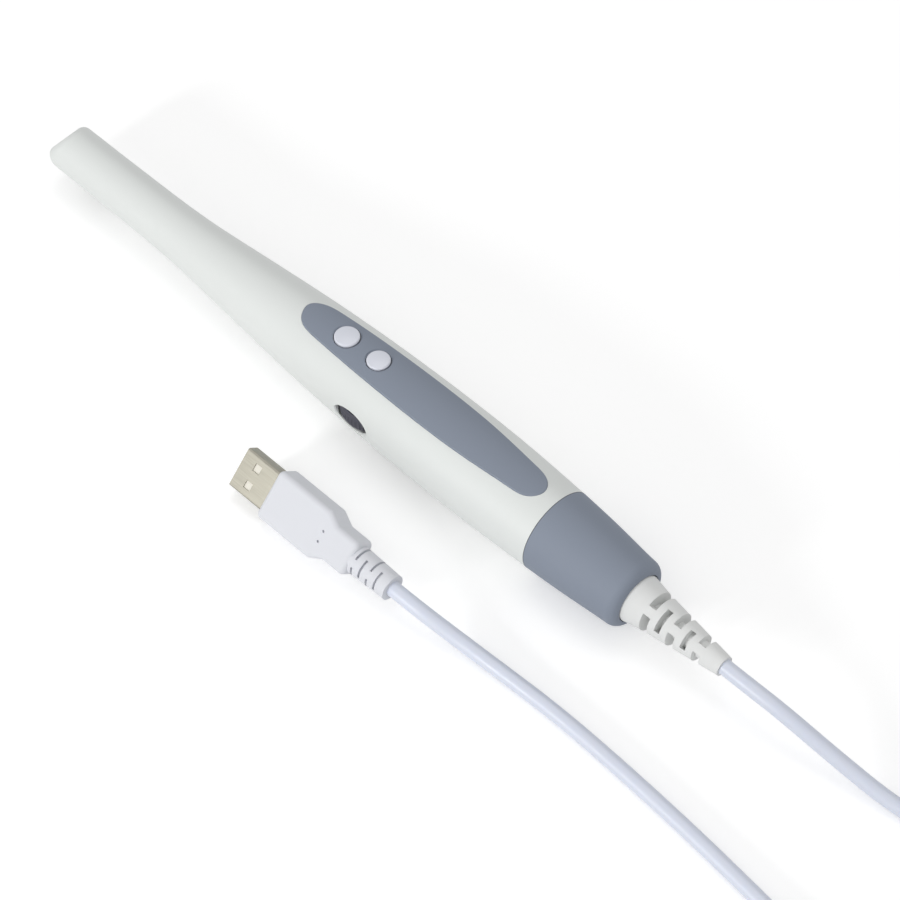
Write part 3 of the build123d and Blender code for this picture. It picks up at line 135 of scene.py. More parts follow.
class EffectShelf:
    """Builds each shared node group once and hands it out."""

    noise_middle = 0.5

    def __init__(self) -> None:
        """Starts with nothing built."""
        self.built: dict[Effect, bpy.types.NodeTree] = {}

    def group(self, effect: Effect) -> bpy.types.NodeTree:
        """Gives the node group of an effect, built at its first use.

        Args:
            effect: The effect that is wanted.

        Returns:
            Its node group.
        """
        if effect not in self.built:
            makers = {Effect.GRAIN: self._grain, Effect.MARKS: self._marks, Effect.BRUSH: self._brush}
            self.built[effect] = makers[effect]()
        return self.built[effect]

    @staticmethod
    def _sheet(effect: Effect, inputs: dict[str, float], outputs: Sequence[str]) -> NodeSheet:
        """Starts a group that takes a vector and some values and puts out values.

        Args:
            effect: The effect that the group makes.
            inputs: Input name to its value at the start.
            outputs: Names of the values that it puts out.

        Returns:
            The group's node sheet.
        """
        tree = bpy.data.node_groups.new(effect.value, "ShaderNodeTree")
        sheet = NodeSheet(tree)
        tree.interface.new_socket("Place", in_out="INPUT", socket_type="NodeSocketVector")
        for name, value in inputs.items():
            socket = tree.interface.new_socket(name, in_out="INPUT", socket_type="NodeSocketFloat")
            socket.default_value = value
        for name in outputs:
            tree.interface.new_socket(name, in_out="OUTPUT", socket_type="NodeSocketFloat")
        return sheet

    def _grain(self) -> bpy.types.NodeTree:
        """Fine spark-eroded grain, with a slow mottle of tone over it.

        Height is fine noise plus small cells, Tone is 1 plus a slow noise times
        Mottle, and Gloss is a middle noise for the roughness to follow.

        Returns:
            The node group.
        """
        sheet = self._sheet(Effect.GRAIN, {"Density": 3000.0, "Mottle": 0.02}, ("Height", "Tone", "Gloss"))
        taken = sheet.add("NodeGroupInput")
        place, density = taken.outputs["Place"], taken.outputs["Density"]
        fine = sheet.add("ShaderNodeTexNoise", {"Vector": place, "Scale": density, "Detail": 2.0,
                                                "Roughness": 0.6})
        cells = sheet.add("ShaderNodeTexVoronoi", {"Vector": place, "Scale": density})
        height = sheet.add("ShaderNodeMath", {0: fine.outputs["Fac"], 1: cells.outputs["Distance"]},
                           operation="ADD")
        slow = sheet.add("ShaderNodeTexNoise", {"Vector": place, "Scale": 55.0, "Detail": 3.0})
        swing = sheet.add("ShaderNodeMath", {0: slow.outputs["Fac"], 1: self.noise_middle},
                          operation="SUBTRACT")
        tone = sheet.add("ShaderNodeMath", {0: swing.outputs[0], 1: taken.outputs["Mottle"], 2: 1.0},
                         operation="MULTIPLY_ADD")
        middle = sheet.add("ShaderNodeTexNoise", {"Vector": place, "Scale": 320.0, "Detail": 2.0})
        sheet.add("NodeGroupOutput", {"Height": height.outputs[0], "Tone": tone.outputs[0],
                                      "Gloss": middle.outputs["Fac"]})
        return sheet.tree

    def _marks(self) -> bpy.types.NodeTree:
        """Light handling marks: thin stretched streaks, kept where a slow noise is high.

        Returns:
            The node group.
        """
        sheet = self._sheet(Effect.MARKS, {"Amount": 0.3}, ("Mask",))
        taken = sheet.add("NodeGroupInput")
        turned = sheet.add("ShaderNodeMapping", {"Vector": taken.outputs["Place"],
                                                 "Rotation": (0.3, 0.2, 0.5), "Scale": (60.0, 900.0, 900.0)})
        streaks = sheet.add("ShaderNodeTexNoise", {"Vector": turned.outputs["Vector"], "Scale": 1.0,
                                                   "Detail": 2.0})
        thin = sheet.add("ShaderNodeMapRange", {"Value": streaks.outputs["Fac"], "From Min": 0.62,
                                                "From Max": 0.72})
        patches = sheet.add("ShaderNodeTexNoise", {"Vector": taken.outputs["Place"], "Scale": 45.0})
        where = sheet.add("ShaderNodeMapRange", {"Value": patches.outputs["Fac"], "From Min": 0.5,
                                                 "From Max": 0.7})
        both = sheet.add("ShaderNodeMath", {0: thin.outputs["Result"], 1: where.outputs["Result"]},
                         operation="MULTIPLY")
        mask = sheet.add("ShaderNodeMath", {0: both.outputs[0], 1: taken.outputs["Amount"]},
                         operation="MULTIPLY")
        sheet.add("NodeGroupOutput", {"Mask": mask.outputs[0]})
        return sheet.tree

    def _brush(self) -> bpy.types.NodeTree:
        """Drawn metal: noise stretched along X, as Height and as a Tone around 1.

        Returns:
            The node group.
        """
        sheet = self._sheet(Effect.BRUSH, {"Density": 2500.0}, ("Height", "Tone"))
        taken = sheet.add("NodeGroupInput")
        stretched = sheet.add("ShaderNodeMapping", {"Vector": taken.outputs["Place"],
                                                    "Scale": (0.04, 1.0, 1.0)})
        lines = sheet.add("ShaderNodeTexNoise", {"Vector": stretched.outputs["Vector"],
                                                 "Scale": taken.outputs["Density"], "Detail": 3.0})
        tone = sheet.add("ShaderNodeMapRange", {"Value": lines.outputs["Fac"], "From Min": 0.25,
                                                "From Max": 0.75, "To Min": 0.86, "To Max": 1.1})
        sheet.add("NodeGroupOutput", {"Height": lines.outputs["Fac"], "Tone": tone.outputs["Result"]})
        return sheet.tree


SHELF = EffectShelf()


class Finish:
    """What every finish shares: a named material with one Principled shader."""

    name: str

    def material(self) -> bpy.types.Material:
        """Gives the finish's material, built at its first use.

        Returns:
            The material.
        """
        found = bpy.data.materials.get(self.name)
        if found:
            return found
        made = bpy.data.materials.new(self.name)
        made.use_nodes = True
        sheet = NodeSheet(made.node_tree)
        shader = sheet.add("ShaderNodeBsdfPrincipled")
        sheet.add("ShaderNodeOutputMaterial", {"Surface": shader.outputs["BSDF"]})
        place = sheet.add("ShaderNodeTexCoord").outputs["Object"]
        self.paint(sheet, shader, place)
        return made

    def paint(self, sheet: NodeSheet, shader: bpy.types.Node, place: bpy.types.NodeSocket) -> None:
        """Fills the shader's inputs from the place on the piece.

        Args:
            sheet: The material's node sheet.
            shader: Its Principled shader.
            place: Object coordinates.
        """
        raise NotImplementedError


def effect_node(sheet: NodeSheet, effect: Effect, feeds: dict[str, Any]) -> bpy.types.Node:
    """Puts a shared node group into a material, with the material's own values.

    Args:
        sheet: The material's node sheet.
        effect: The effect that is wanted.
        feeds: Input name to a value, or to an output socket to join.

    Returns:
        The group node.
    """
    node = sheet.add("ShaderNodeGroup", node_tree=SHELF.group(effect))
    sheet.feed(node, feeds)
    return node


def join(sheet: NodeSheet, shader: bpy.types.Node, sources: dict[str, bpy.types.NodeSocket]) -> None:
    """Joins output sockets to a shader's inputs.

    Args:
        sheet: The material's node sheet.
        shader: Its Principled shader.
        sources: Input name to the output socket that feeds it.
    """
    for socket, source in sources.items():
        sheet.tree.links.new(source, shader.inputs[socket])


@dataclass(frozen=True)
class Moulding(Finish):
    """Moulded plastic or rubber: grained, a little mottled and lightly marked."""

    name: str
    colour: tuple[int, int, int]
    roughness: float = 0.4
    density: float = 3000.0
    depth: float = 0.02
    mottle: float = 0.04
    marks: float = 0.3
    coat: float = 0.0
    subsurface: float = 0.0
    gloss_swing: float = 0.06
    mark_dulling: float = 0.25
    bump_distance: float = 0.0001
    scatter_radius: tuple[float, float, float] = (0.002, 0.0015, 0.001)
    scatter_scale: float = 0.5

    def paint(self, sheet: NodeSheet, shader: bpy.types.Node, place: bpy.types.NodeSocket) -> None:
        """Tone times colour, gloss that wanders, and grain as bump.

        Args:
            sheet: The material's node sheet.
            shader: Its Principled shader.
            place: Object coordinates.
        """
        grain = effect_node(sheet, Effect.GRAIN, {"Place": place, "Density": self.density,
                                                  "Mottle": self.mottle})
        marks = effect_node(sheet, Effect.MARKS, {"Place": place, "Amount": self.marks})
        toned = sheet.add("ShaderNodeMix", {"Factor": 1.0, "A": linear(*self.colour),
                                            "B": grain.outputs["Tone"]},
                          data_type="RGBA", blend_type="MULTIPLY")
        gloss = sheet.add("ShaderNodeMapRange", {"Value": grain.outputs["Gloss"],
                                                 "To Min": self.roughness - self.gloss_swing,
                                                 "To Max": self.roughness + self.gloss_swing})
        marked = sheet.add("ShaderNodeMath", {0: marks.outputs["Mask"], 1: self.mark_dulling,
                                              2: gloss.outputs["Result"]}, operation="MULTIPLY_ADD")
        bump = sheet.add("ShaderNodeBump", {"Height": grain.outputs["Height"], "Strength": self.depth,
                                            "Distance": self.bump_distance})
        join(sheet, shader, {"Base Color": toned.outputs["Result"], "Roughness": marked.outputs[0],
                             "Normal": bump.outputs["Normal"]})
        sheet.feed(shader, {"Coat Weight": self.coat, "Subsurface Weight": self.subsurface,
                            "Subsurface Radius": self.scatter_radius,
                            "Subsurface Scale": self.scatter_scale})


@dataclass(frozen=True)
class DrawnMetal(Finish):
    """Drawn or plated metal with fine lines along X and faint marks."""

    name: str
    colour: tuple[int, int, int]
    roughness: float = 0.3
    density: float = 2500.0
    depth: float = 0.05
    marks: float = 0.6
    mark_dulling: float = 0.3
    bump_distance: float = 0.00005

    def paint(self, sheet: NodeSheet, shader: bpy.types.Node, place: bpy.types.NodeSocket) -> None:
        """Lines as tone and bump, with marks that dull the gloss.

        Args:
            sheet: The material's node sheet.
            shader: Its Principled shader.
            place: Object coordinates.
        """
        lines = effect_node(sheet, Effect.BRUSH, {"Place": place, "Density": self.density})
        marks = effect_node(sheet, Effect.MARKS, {"Place": place, "Amount": self.marks})
        toned = sheet.add("ShaderNodeMix", {"Factor": 1.0, "A": linear(*self.colour),
                                            "B": lines.outputs["Tone"]},
                          data_type="RGBA", blend_type="MULTIPLY")
        dulled = sheet.add("ShaderNodeMath", {0: marks.outputs["Mask"], 1: self.mark_dulling,
                                              2: self.roughness}, operation="MULTIPLY_ADD")
        bump = sheet.add("ShaderNodeBump", {"Height": lines.outputs["Height"], "Strength": self.depth,
                                            "Distance": self.bump_distance})
        join(sheet, shader, {"Base Color": toned.outputs["Result"], "Roughness": dulled.outputs[0],
                             "Normal": bump.outputs["Normal"]})
        sheet.feed(shader, {"Metallic": 1.0})


@dataclass(frozen=True)
class OpticalGlass(Finish):
    """Clear glass with a faint smear over its polish."""

    name: str
    tint: tuple[int, int, int] = (244, 250, 252)
    smear_density: float = 180.0
    polished: float = 0.02
    smeared: float = 0.12
    refraction: float = 1.52

    def paint(self, sheet: NodeSheet, shader: bpy.types.Node, place: bpy.types.NodeSocket) -> None:
        """A slow noise lifts the roughness a little where the glass was touched.

        Args:
            sheet: The material's node sheet.
            shader: Its Principled shader.
            place: Object coordinates.
        """
        smear = sheet.add("ShaderNodeTexNoise", {"Vector": place, "Scale": self.smear_density,
                                                 "Detail": 2.0})
        rough = sheet.add("ShaderNodeMapRange", {"Value": smear.outputs["Fac"], "From Min": 0.45,
                                                 "To Min": self.polished, "To Max": self.smeared})
        join(sheet, shader, {"Roughness": rough.outputs["Result"]})
        sheet.feed(shader, {"Base Color": linear(*self.tint), "Transmission Weight": 1.0,
                            "IOR": self.refraction})


@dataclass(frozen=True)
class CircuitBoard(Finish):
    """Solder mask over copper traces, with tinned pads between them."""

    name: str
    colour: tuple[int, int, int] = (28, 92, 52)
    trace_colour: tuple[int, int, int] = (44, 122, 70)
    pad_colour: tuple[int, int, int] = (196, 196, 186)
    density: float = 420.0
    trace_edges: tuple[float, float] = (0.42, 0.46)
    pad_edges: tuple[float, float] = (0.14, 0.1)
    depth: float = 0.2
    bump_distance: float = 0.00005
    roughness: float = 0.35

    def paint(self, sheet: NodeSheet, shader: bpy.types.Node, place: bpy.types.NodeSocket) -> None:
        """Places far from the centres of square Voronoi cells are traces, and the centres are pads.

        Args:
            sheet: The material's node sheet.
            shader: Its Principled shader.
            place: Object coordinates.
        """
        cells = sheet.add("ShaderNodeTexVoronoi", {"Vector": place, "Scale": self.density},
                          feature="F1", distance="CHEBYCHEV")
        trace, pad = (sheet.add("ShaderNodeMapRange", {"Value": cells.outputs["Distance"],
                                                       "From Min": off, "From Max": on})
                      for off, on in (self.trace_edges, self.pad_edges))
        masked = sheet.add("ShaderNodeMix", {"Factor": trace.outputs["Result"], "A": linear(*self.colour),
                                             "B": linear(*self.trace_colour)}, data_type="RGBA")
        tinned = sheet.add("ShaderNodeMix", {"Factor": pad.outputs["Result"], "A": masked.outputs["Result"],
                                             "B": linear(*self.pad_colour)}, data_type="RGBA")
        bump = sheet.add("ShaderNodeBump", {"Height": trace.outputs["Result"], "Strength": self.depth,
                                            "Distance": self.bump_distance})
        join(sheet, shader, {"Base Color": tinned.outputs["Result"], "Metallic": pad.outputs["Result"],
                             "Normal": bump.outputs["Normal"]})
        sheet.feed(shader, {"Roughness": self.roughness})


@dataclass(frozen=True)
class StripedFilm(Finish):
    """Flexible film with fine conductor stripes along X under an amber cover."""

    name: str
    colour: tuple[int, int, int] = (186, 124, 42)
    stripe_colour: tuple[int, int, int] = (148, 88, 26)
    density: float = 640.0
    waver: float = 0.2
    roughness: float = 0.25

    def paint(self, sheet: NodeSheet, shader: bpy.types.Node, place: bpy.types.NodeSocket) -> None:
        """A sine of the distance across the film switches between its two colours.

        Args:
            sheet: The material's node sheet.
            shader: Its Principled shader.
            place: Object coordinates.
        """
        stripes = sheet.add("ShaderNodeTexWave", {"Vector": place, "Scale": self.density,
                                                  "Distortion": self.waver}, bands_direction="Y")
        mixed = sheet.add("ShaderNodeMix", {"Factor": stripes.outputs["Fac"], "A": linear(*self.colour),
                                            "B": linear(*self.stripe_colour)}, data_type="RGBA")
        join(sheet, shader, {"Base Color": mixed.outputs["Result"]})
        sheet.feed(shader, {"Roughness": self.roughness})


BARREL_WHITE = Moulding("barrel_white", (220, 223, 221), roughness=0.55, depth=0.03, mottle=0.02)
CAP_GREY = Moulding("cap_grey", (122, 130, 145), roughness=0.26, density=2200.0, depth=0.06, mottle=0.05,
                    coat=0.1)
PANEL_GREY = Moulding("panel_grey", (120, 128, 143), roughness=0.5, density=2200.0, depth=0.08, mottle=0.06)
BUTTON_WHITE = Moulding("button_white", (216, 219, 229), roughness=0.22, depth=0.01, mottle=0.03, coat=0.4)
WHEEL_DARK = Moulding("wheel_dark", (92, 90, 100), roughness=0.6, density=4000.0, depth=0.1, mottle=0.1)
RELIEF_WHITE = Moulding("relief_white", (230, 230, 228), roughness=0.5, depth=0.04, mottle=0.03,
                        subsurface=0.15)
LEAD_WHITE = Moulding("lead_white", (210, 215, 228), roughness=0.38, density=1800.0, depth=0.03, mottle=0.03,
                      subsurface=0.1)
GRIP_WHITE = Moulding("grip_white", (218, 220, 228), roughness=0.45, density=2600.0, depth=0.07, mottle=0.04,
                      subsurface=0.1)
TIE_WHITE = Moulding("tie_white", (236, 236, 234), roughness=0.35, depth=0.03, mottle=0.05, subsurface=0.2)
MATT_BLACK = Moulding("matt_black", (34, 34, 36), roughness=0.65, depth=0.1, mottle=0.15)
CHIP_BLACK = Moulding("chip_black", (42, 42, 46), roughness=0.5, density=5000.0, depth=0.1, mottle=0.15)
FRAME_GREY = Moulding("frame_grey", (150, 150, 152), roughness=0.5, depth=0.06, mottle=0.06)
PLUNGER_RED = Moulding("plunger_red", (176, 82, 64), roughness=0.4, depth=0.03, mottle=0.08)
IVORY = Moulding("ivory", (226, 222, 210), roughness=0.4, depth=0.04, mottle=0.05)
WIRE_RED = Moulding("wire_red", (188, 58, 50), roughness=0.4, depth=0.02, mottle=0.08)
SEAL_BLACK = Moulding("seal_black", (28, 28, 28), roughness=0.55, depth=0.05, mottle=0.1)
LIGHT_YELLOW = Moulding("light_yellow", (240, 232, 176), roughness=0.2, depth=0.01, mottle=0.1, coat=0.5)
SENSOR_DARK = Moulding("sensor_dark", (40, 34, 62), roughness=0.12, depth=0.01, mottle=0.2, coat=0.8)
# Painted shade: the dark colour of the ring that stands for the shade in the gap between cap and barrel
GAP_SHADE_DARK = Moulding("painted_gap_shade", (58, 60, 66), roughness=0.7, depth=0.02, mottle=0.1)
SHELL_STEEL = DrawnMetal("shell_steel", (154, 151, 140), roughness=0.36)
BRIGHT_STEEL = DrawnMetal("bright_steel", (196, 196, 194), roughness=0.3, density=4000.0)
BLACK_ALLOY = DrawnMetal("black_alloy", (52, 52, 54), roughness=0.45, density=5000.0)
GILT = DrawnMetal("gilt", (226, 190, 110), roughness=0.25)
CLEAR = OpticalGlass("clear_glass")
BOARD_GREEN = CircuitBoard("board_green")
AMBER_FILM = StripedFilm("amber_film")


def shell_mesh(name: str, grid: np.ndarray, close_u: bool, close_v: bool) -> bpy.types.Object:
    """Makes an object from a grid of points, joined to its neighbours by quads.

    Args:
        name: The piece's name.
        grid: Points in millimetres, as an array of u by v by 3.
        close_u: Whether the last row joins the first.
        close_v: Whether the last column joins the first.

    Returns:
        The object, smooth shaded, at the origin.
    """
    rows, columns = grid.shape[:2]
    u, v = np.meshgrid(np.arange(rows if close_u else rows - 1),
                       np.arange(columns if close_v else columns - 1), indexing="ij")
    next_u, next_v = (u + 1) % rows, (v + 1) % columns
    corners = (u * columns + v, next_u * columns + v, next_u * columns + next_v, u * columns + next_v)
    quads = np.stack(corners, axis=-1).reshape(-1, len(corners))
    mesh = bpy.data.meshes.new(name)
    mesh.from_pydata((grid.reshape(-1, 3) * MM).tolist(), [], quads.tolist())
    mesh.update()
    mesh.polygons.foreach_set("use_smooth", np.ones(len(mesh.polygons), dtype=bool))
    made = bpy.data.objects.new(name, mesh)
    bpy.context.scene.collection.objects.link(made)
    return made


def ring_angles(around: int, section: int) -> tuple[np.ndarray, np.ndarray]:
    """Angles for a closed section that is carried round a closed loop.

    Args:
        around: Number of points round the loop.
        section: Number of points round the section.

    Returns:
        The loop's angles as a column and the section's as a row, in radians.
    """
    u, v = (np.linspace(0, 2 * math.pi, count, endpoint=False) for count in (around, section))
    return u[:, None], v[None, :]


def drawn_out(value: np.ndarray, power: float) -> np.ndarray:
    """Draws a sine or cosine out towards a square wave, as in a superellipse.

    Args:
        value: The sine or cosine.
        power: 1 leaves it as it is, and 0 makes it square.

    Returns:
        The drawn out values.
    """
    return np.sign(value) * np.abs(value) ** power


def aimed(spot: Vector, towards: Vector) -> Matrix:
    """Puts a camera or lamp at a spot, level, facing along a direction.

    Args:
        spot: Where it stands, in metres.
        towards: The direction that it faces.

    Returns:
        Its world matrix.
    """
    return Matrix.Translation(spot) @ towards.to_track_quat("-Z", "Y").to_matrix().to_4x4()


def dress(node: str, finish: Finish) -> None:
    """Gives a solid of the frame its finish, in place of the materials that it came with.

    Args:
        node: The solid's name in the frame.
        finish: The finish to give it.
    """
    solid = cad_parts[node]
    solid.data.materials.clear()
    solid.data.materials.append(finish.material())
    LOG.info("dressed %s in %s", node, finish.name)


def settle(piece: bpy.types.Object, finish: Finish, body: str) -> None:
    """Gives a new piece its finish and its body.

    Args:
        piece: The piece.
        finish: The finish to give it.
        body: The body that it moves with.
    """
    piece.data.materials.append(finish.material())
    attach(piece, body)
    LOG.info("made %s", piece.name)


@dataclass(frozen=True)
class Lamp:
    """A round area lamp that faces the frame's origin."""

    name: str
    place: tuple[float, float, float]
    size: float
    power: float

    def make(self) -> None:
        """Adds the lamp to the scene."""
        data = bpy.data.lights.new(self.name, "AREA")
        data.shape, data.size, data.energy = "DISK", self.size * MM, self.power
        lamp = bpy.data.objects.new(self.name, data)
        spot = Vector(self.place) * MM
        lamp.matrix_world = aimed(spot, -spot)
        bpy.context.scene.collection.objects.link(lamp)


@dataclass
class Studio:
    """Camera, pale floor and soft light."""

    azimuth: float = 224.886
    elevation: float = 53.0
    distance: float = 1220.0
    target: tuple[float, float, float] = (-20.74, -6.05, 0.0)
    lens: float = 179.96
    sensor: float = 36.0
    camera_reach: float = 50000.0
    floor_size: float = 6000.0
    floor_tone: tuple[float, float, float, float] = (0.86, 0.86, 0.86, 1.0)
    floor_glow: float = 0.32
    sky_light: float = 0.52
    sky_seen: float = 1.0
    lamps: tuple[Lamp, ...] = (Lamp("key", (110.0, 820.0, 300.0), 200.0, 3.0),
                               Lamp("fill", (-700.0, 500.0, 800.0), 900.0, 1.8),
                               Lamp("top", (150.0, -250.0, 1000.0), 700.0, 1.8))

    def back(self) -> np.ndarray:
        """Direction from the target to the camera.

        Returns:
            A unit vector.
        """
        turn, lift = math.radians(self.azimuth), math.radians(self.elevation)
        return np.array([math.sin(turn) * math.cos(lift), -math.cos(turn) * math.cos(lift), math.sin(lift)])

    def make_camera(self) -> None:
        """Places the camera, level, looking at the target."""
        data = bpy.data.cameras.new("photo_camera")
        data.lens, data.sensor_width, data.clip_end = self.lens, self.sensor, self.camera_reach * MM
        camera = bpy.data.objects.new("photo_camera", data)
        eye = Vector(np.array(self.target) * MM + self.back() * self.distance * MM)
        camera.matrix_world = aimed(eye, Vector(-self.back()))
        bpy.context.scene.collection.objects.link(camera)
        bpy.context.scene.camera = camera

    def make_floor(self) -> None:
        """A wide pale floor: lit white, lifted to white for the camera and reflections."""
        half = self.floor_size / 2
        x, y = np.meshgrid((-half, half), (-half, half), indexing="ij")
        floor = shell_mesh("floor", np.stack([x, y, np.zeros_like(x)], axis=-1), False, False)
        floor.data.flip_normals()
        paper = bpy.data.materials.new("paper_white")
        paper.use_nodes = True
        sheet = NodeSheet(paper.node_tree)
        seen = self._seen(sheet)
        lift = sheet.add("ShaderNodeMath", {0: seen, 1: self.floor_glow}, operation="MULTIPLY")
        glow = sheet.add("ShaderNodeEmission", {"Color": WHITE, "Strength": lift.outputs[0]})
        matt = sheet.add("ShaderNodeBsdfDiffuse", {"Color": self.floor_tone})
        both = sheet.add("ShaderNodeAddShader", {0: glow.outputs[0], 1: matt.outputs[0]})
        sheet.add("ShaderNodeOutputMaterial", {"Surface": both.outputs[0]})
        floor.data.materials.append(paper)

    @staticmethod
    def _seen(sheet: NodeSheet) -> bpy.types.NodeSocket:
        """1 for rays that show the background: seen directly, reflected or through glass.

        Args:
            sheet: The node sheet of a material or a world.

        Returns:
            The socket that carries the value.
        """
        path = sheet.add("ShaderNodeLightPath")
        found = path.outputs["Is Camera Ray"]
        for other in ("Is Glossy Ray", "Is Transmission Ray"):
            either = sheet.add("ShaderNodeMath", {0: found, 1: path.outputs[other]}, operation="MAXIMUM")
            found = either.outputs[0]
        return found

    def make_light(self) -> None:
        """A pale world and the soft lamps."""
        world = bpy.data.worlds.new("studio")
        bpy.context.scene.world = world
        world.use_nodes = True
        sheet = NodeSheet(world.node_tree)
        strength = sheet.add("ShaderNodeMapRange", {"Value": self._seen(sheet), "To Min": self.sky_light,
                                                    "To Max": self.sky_seen})
        sky = sheet.add("ShaderNodeBackground", {"Color": WHITE, "Strength": strength.outputs["Result"]})
        sheet.add("ShaderNodeOutputWorld", {"Surface": sky.outputs[0]})
        for lamp in self.lamps:
            lamp.make()

    def make(self) -> None:
        """Makes the floor, the light and the plain view transform."""
        bpy.context.scene.view_settings.view_transform = "Standard"
        self.make_floor()
        self.make_light()


@dataclass
class Lead:
    """The lead from the strain relief through its coil to the plug, with the coil's ties.

    The routes and the coil's centre count X from the rear end of the cap.
    """

    radius: float = 2.25
    length: float = 2500.0
    start: tuple[float, float, float] = (-30.4, 0.0, 12.05)
    handpiece_route: tuple[tuple[float, float, float], ...] = (
        (-38.4, 0.0, 12.05), (-50.0, -0.7, 11.0), (-67.0, -2.4, 6.4), (-86.0, -4.2, 2.5),
        (-106.0, -7.2, 2.4), (-126.0, -11.4, 2.6))
    plug_route: tuple[tuple[float, float, float], ...] = (
        (50.3, 40.9, 7.59), (42.3, 40.9, 7.59), (31.0, 39.0, 4.6), (16.0, 37.2, 2.4), (-6.0, 36.2, 2.3),
        (-32.0, 37.0, 2.3), (-56.0, 38.4, 2.3), (-80.0, 40.6, 2.5), (-101.0, 43.4, 4.0), (-119.0, 45.4, 8.6))
    coil_centre: tuple[float, float] = (-158.0, 20.0)
    coil_radius: float = 26.0
    columns: int = 4
    layers: int = 4
    turns: float = 13.5
    points_per_turn: int = 16
    shift_share: float = 1 / 8
    order: int = 3
    steps: int = 6
    tie_thickness: float = 0.8
    tie_width: float = 10.0
    tie_skin_share: float = 0.9
    tie_rise_share: float = 0.98
    tie_loop_power: float = 0.28
    tie_edge_power: float = 0.3
    tie_face_power: float = 0.6
    tie_loop_count: int = 96
    tie_section_count: int = 24
    tie_angles: dict[str, float] = field(default_factory=lambda: {"inner_coil_tie": 0.0,
                                                                  "outer_coil_tie": 180.0})
    plug_pieces: tuple[str, ...] = ("plug_grip", "plug_shell", "plug_tongue", "plug_contacts")

    def coil_points(self) -> np.ndarray:
        """Control points of the coil's turns, wound clockwise from the lowest outer one.

        The angle runs evenly. The radius shifts to the next column over shift_share of
        each turn and keeps it for the rest, and the height rises a layer over the same
        share of a turn before that, so that neighbours stay a diameter apart.

        Returns:
            An array of points by 3, in millimetres in the frame.
        """
        pitch = 2 * self.radius
        outer = self.coil_radius + (self.columns - 1) * self.radius
        columns = outer - pitch * np.arange(self.columns)
        full = np.arange(self.columns * (self.layers - 1) + 1)
        layer, place = full // self.columns, full % self.columns
        kept = np.where(layer % 2 == 0, columns[place], columns[self.columns - 1 - place])
        radius_at = np.stack([full + self.shift_share, full + 1.0], axis=1).ravel()
        radius_value = np.repeat(kept, 2)
        rises = np.arange(1, self.layers) * self.columns
        height_at = np.stack([rises - self.shift_share, rises], axis=1).ravel()
        height_value = np.stack([rises / self.columns - 1, rises / self.columns], axis=1).ravel() * pitch
        turn = np.arange(self.turns * self.points_per_turn + 1) / self.points_per_turn
        radius = np.interp(turn, np.append(radius_at, self.turns), np.append(radius_value, self.coil_radius))
        height = self.tie_thickness + self.radius + np.interp(turn, height_at, height_value)
        angle = -math.pi / 2 - 2 * math.pi * turn
        reach = radius / math.cos(math.pi / self.points_per_turn)
        return np.stack([CAP_END_X + self.coil_centre[0] + reach * np.cos(angle),
                         self.coil_centre[1] + reach * np.sin(angle), height], axis=1)

    def points(self) -> np.ndarray:
        """Every control point from the relief to the plug.

        Returns:
            An array of points by 3, in millimetres in the frame.
        """
        shift = np.array([CAP_END_X, 0.0, 0.0])
        to_coil = np.array([self.start, *self.handpiece_route]) + shift
        from_coil = np.array(self.plug_route[::-1]) + shift
        return np.concatenate([to_coil, self.coil_points(), from_coil])

    def make_cord(self) -> None:
        """One open NURBS spline with a round bevel, in place of the lead's solids, and the coil's ties."""
        points = self.points() * MM
        curve = bpy.data.curves.new("lead", "CURVE")
        curve.dimensions = "3D"
        spline = curve.splines.new("NURBS")
        spline.points.add(len(points) - 1)
        spline.points.foreach_set("co", np.column_stack([points, np.ones(len(points))]).ravel())
        spline.order_u = self.order
        spline.use_endpoint_u = True
        spline.resolution_u = self.steps
        curve.bevel_depth = self.radius * MM
        curve.bevel_resolution = self.steps
        curve.use_fill_caps = True
        lead = bpy.data.objects.new("lead", curve)
        bpy.context.scene.collection.objects.link(lead)
        settle(lead, LEAD_WHITE, "handpiece")
        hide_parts("handpiece_cable", "plug_cable", "cable_coil")
        ties = [self.make_tie(name, angle) for name, angle in self.tie_angles.items()]

    def make_tie(self, node: str, angle: float) -> bpy.types.Object:
        """A flat strap round the bundle, as a rounded loop carried round a thin section.

        The loop is a superellipse of the angle u round the bundle, and the section is
        a thin superellipse of the angle v, across the strap and through its thickness.

        Args:
            node: The solid that the strap stands for.
            angle: Where the strap sits round the coil, in degrees.

        Returns:
            The strap.
        """
        half_width = self.columns * self.radius + self.tie_thickness
        half_height = self.layers * self.radius + self.tie_thickness / 2
        u, v = ring_angles(self.tie_loop_count, self.tie_section_count)
        along, up = drawn_out(np.cos(u), self.tie_loop_power), drawn_out(np.sin(u), self.tie_loop_power)
        across = drawn_out(np.cos(v), self.tie_edge_power) * self.tie_width / 2
        through = drawn_out(np.sin(v), self.tie_face_power) * self.tie_thickness / 2 * self.tie_skin_share
        x = self.coil_radius + along * (half_width + through)
        z = self.tie_thickness / 2 + half_height + up * (half_height + through * self.tie_rise_share)
        turn = math.radians(angle)
        grid = np.stack([CAP_END_X + self.coil_centre[0] + x * math.cos(turn) - across * math.sin(turn),
                         self.coil_centre[1] + x * math.sin(turn) + across * math.cos(turn), z], axis=-1)
        strap = shell_mesh(f"{node}_strap", grid, True, True)
        settle(strap, TIE_WHITE, "handpiece")
        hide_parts(node)
        return strap


@dataclass
class Assembly:
    """Solids of the frame that get their finishes together."""

    finishes: dict[str, Finish]

    def make(self) -> None:
        """Dresses the solids."""
        for node, finish in self.finishes.items():
            dress(node, finish)


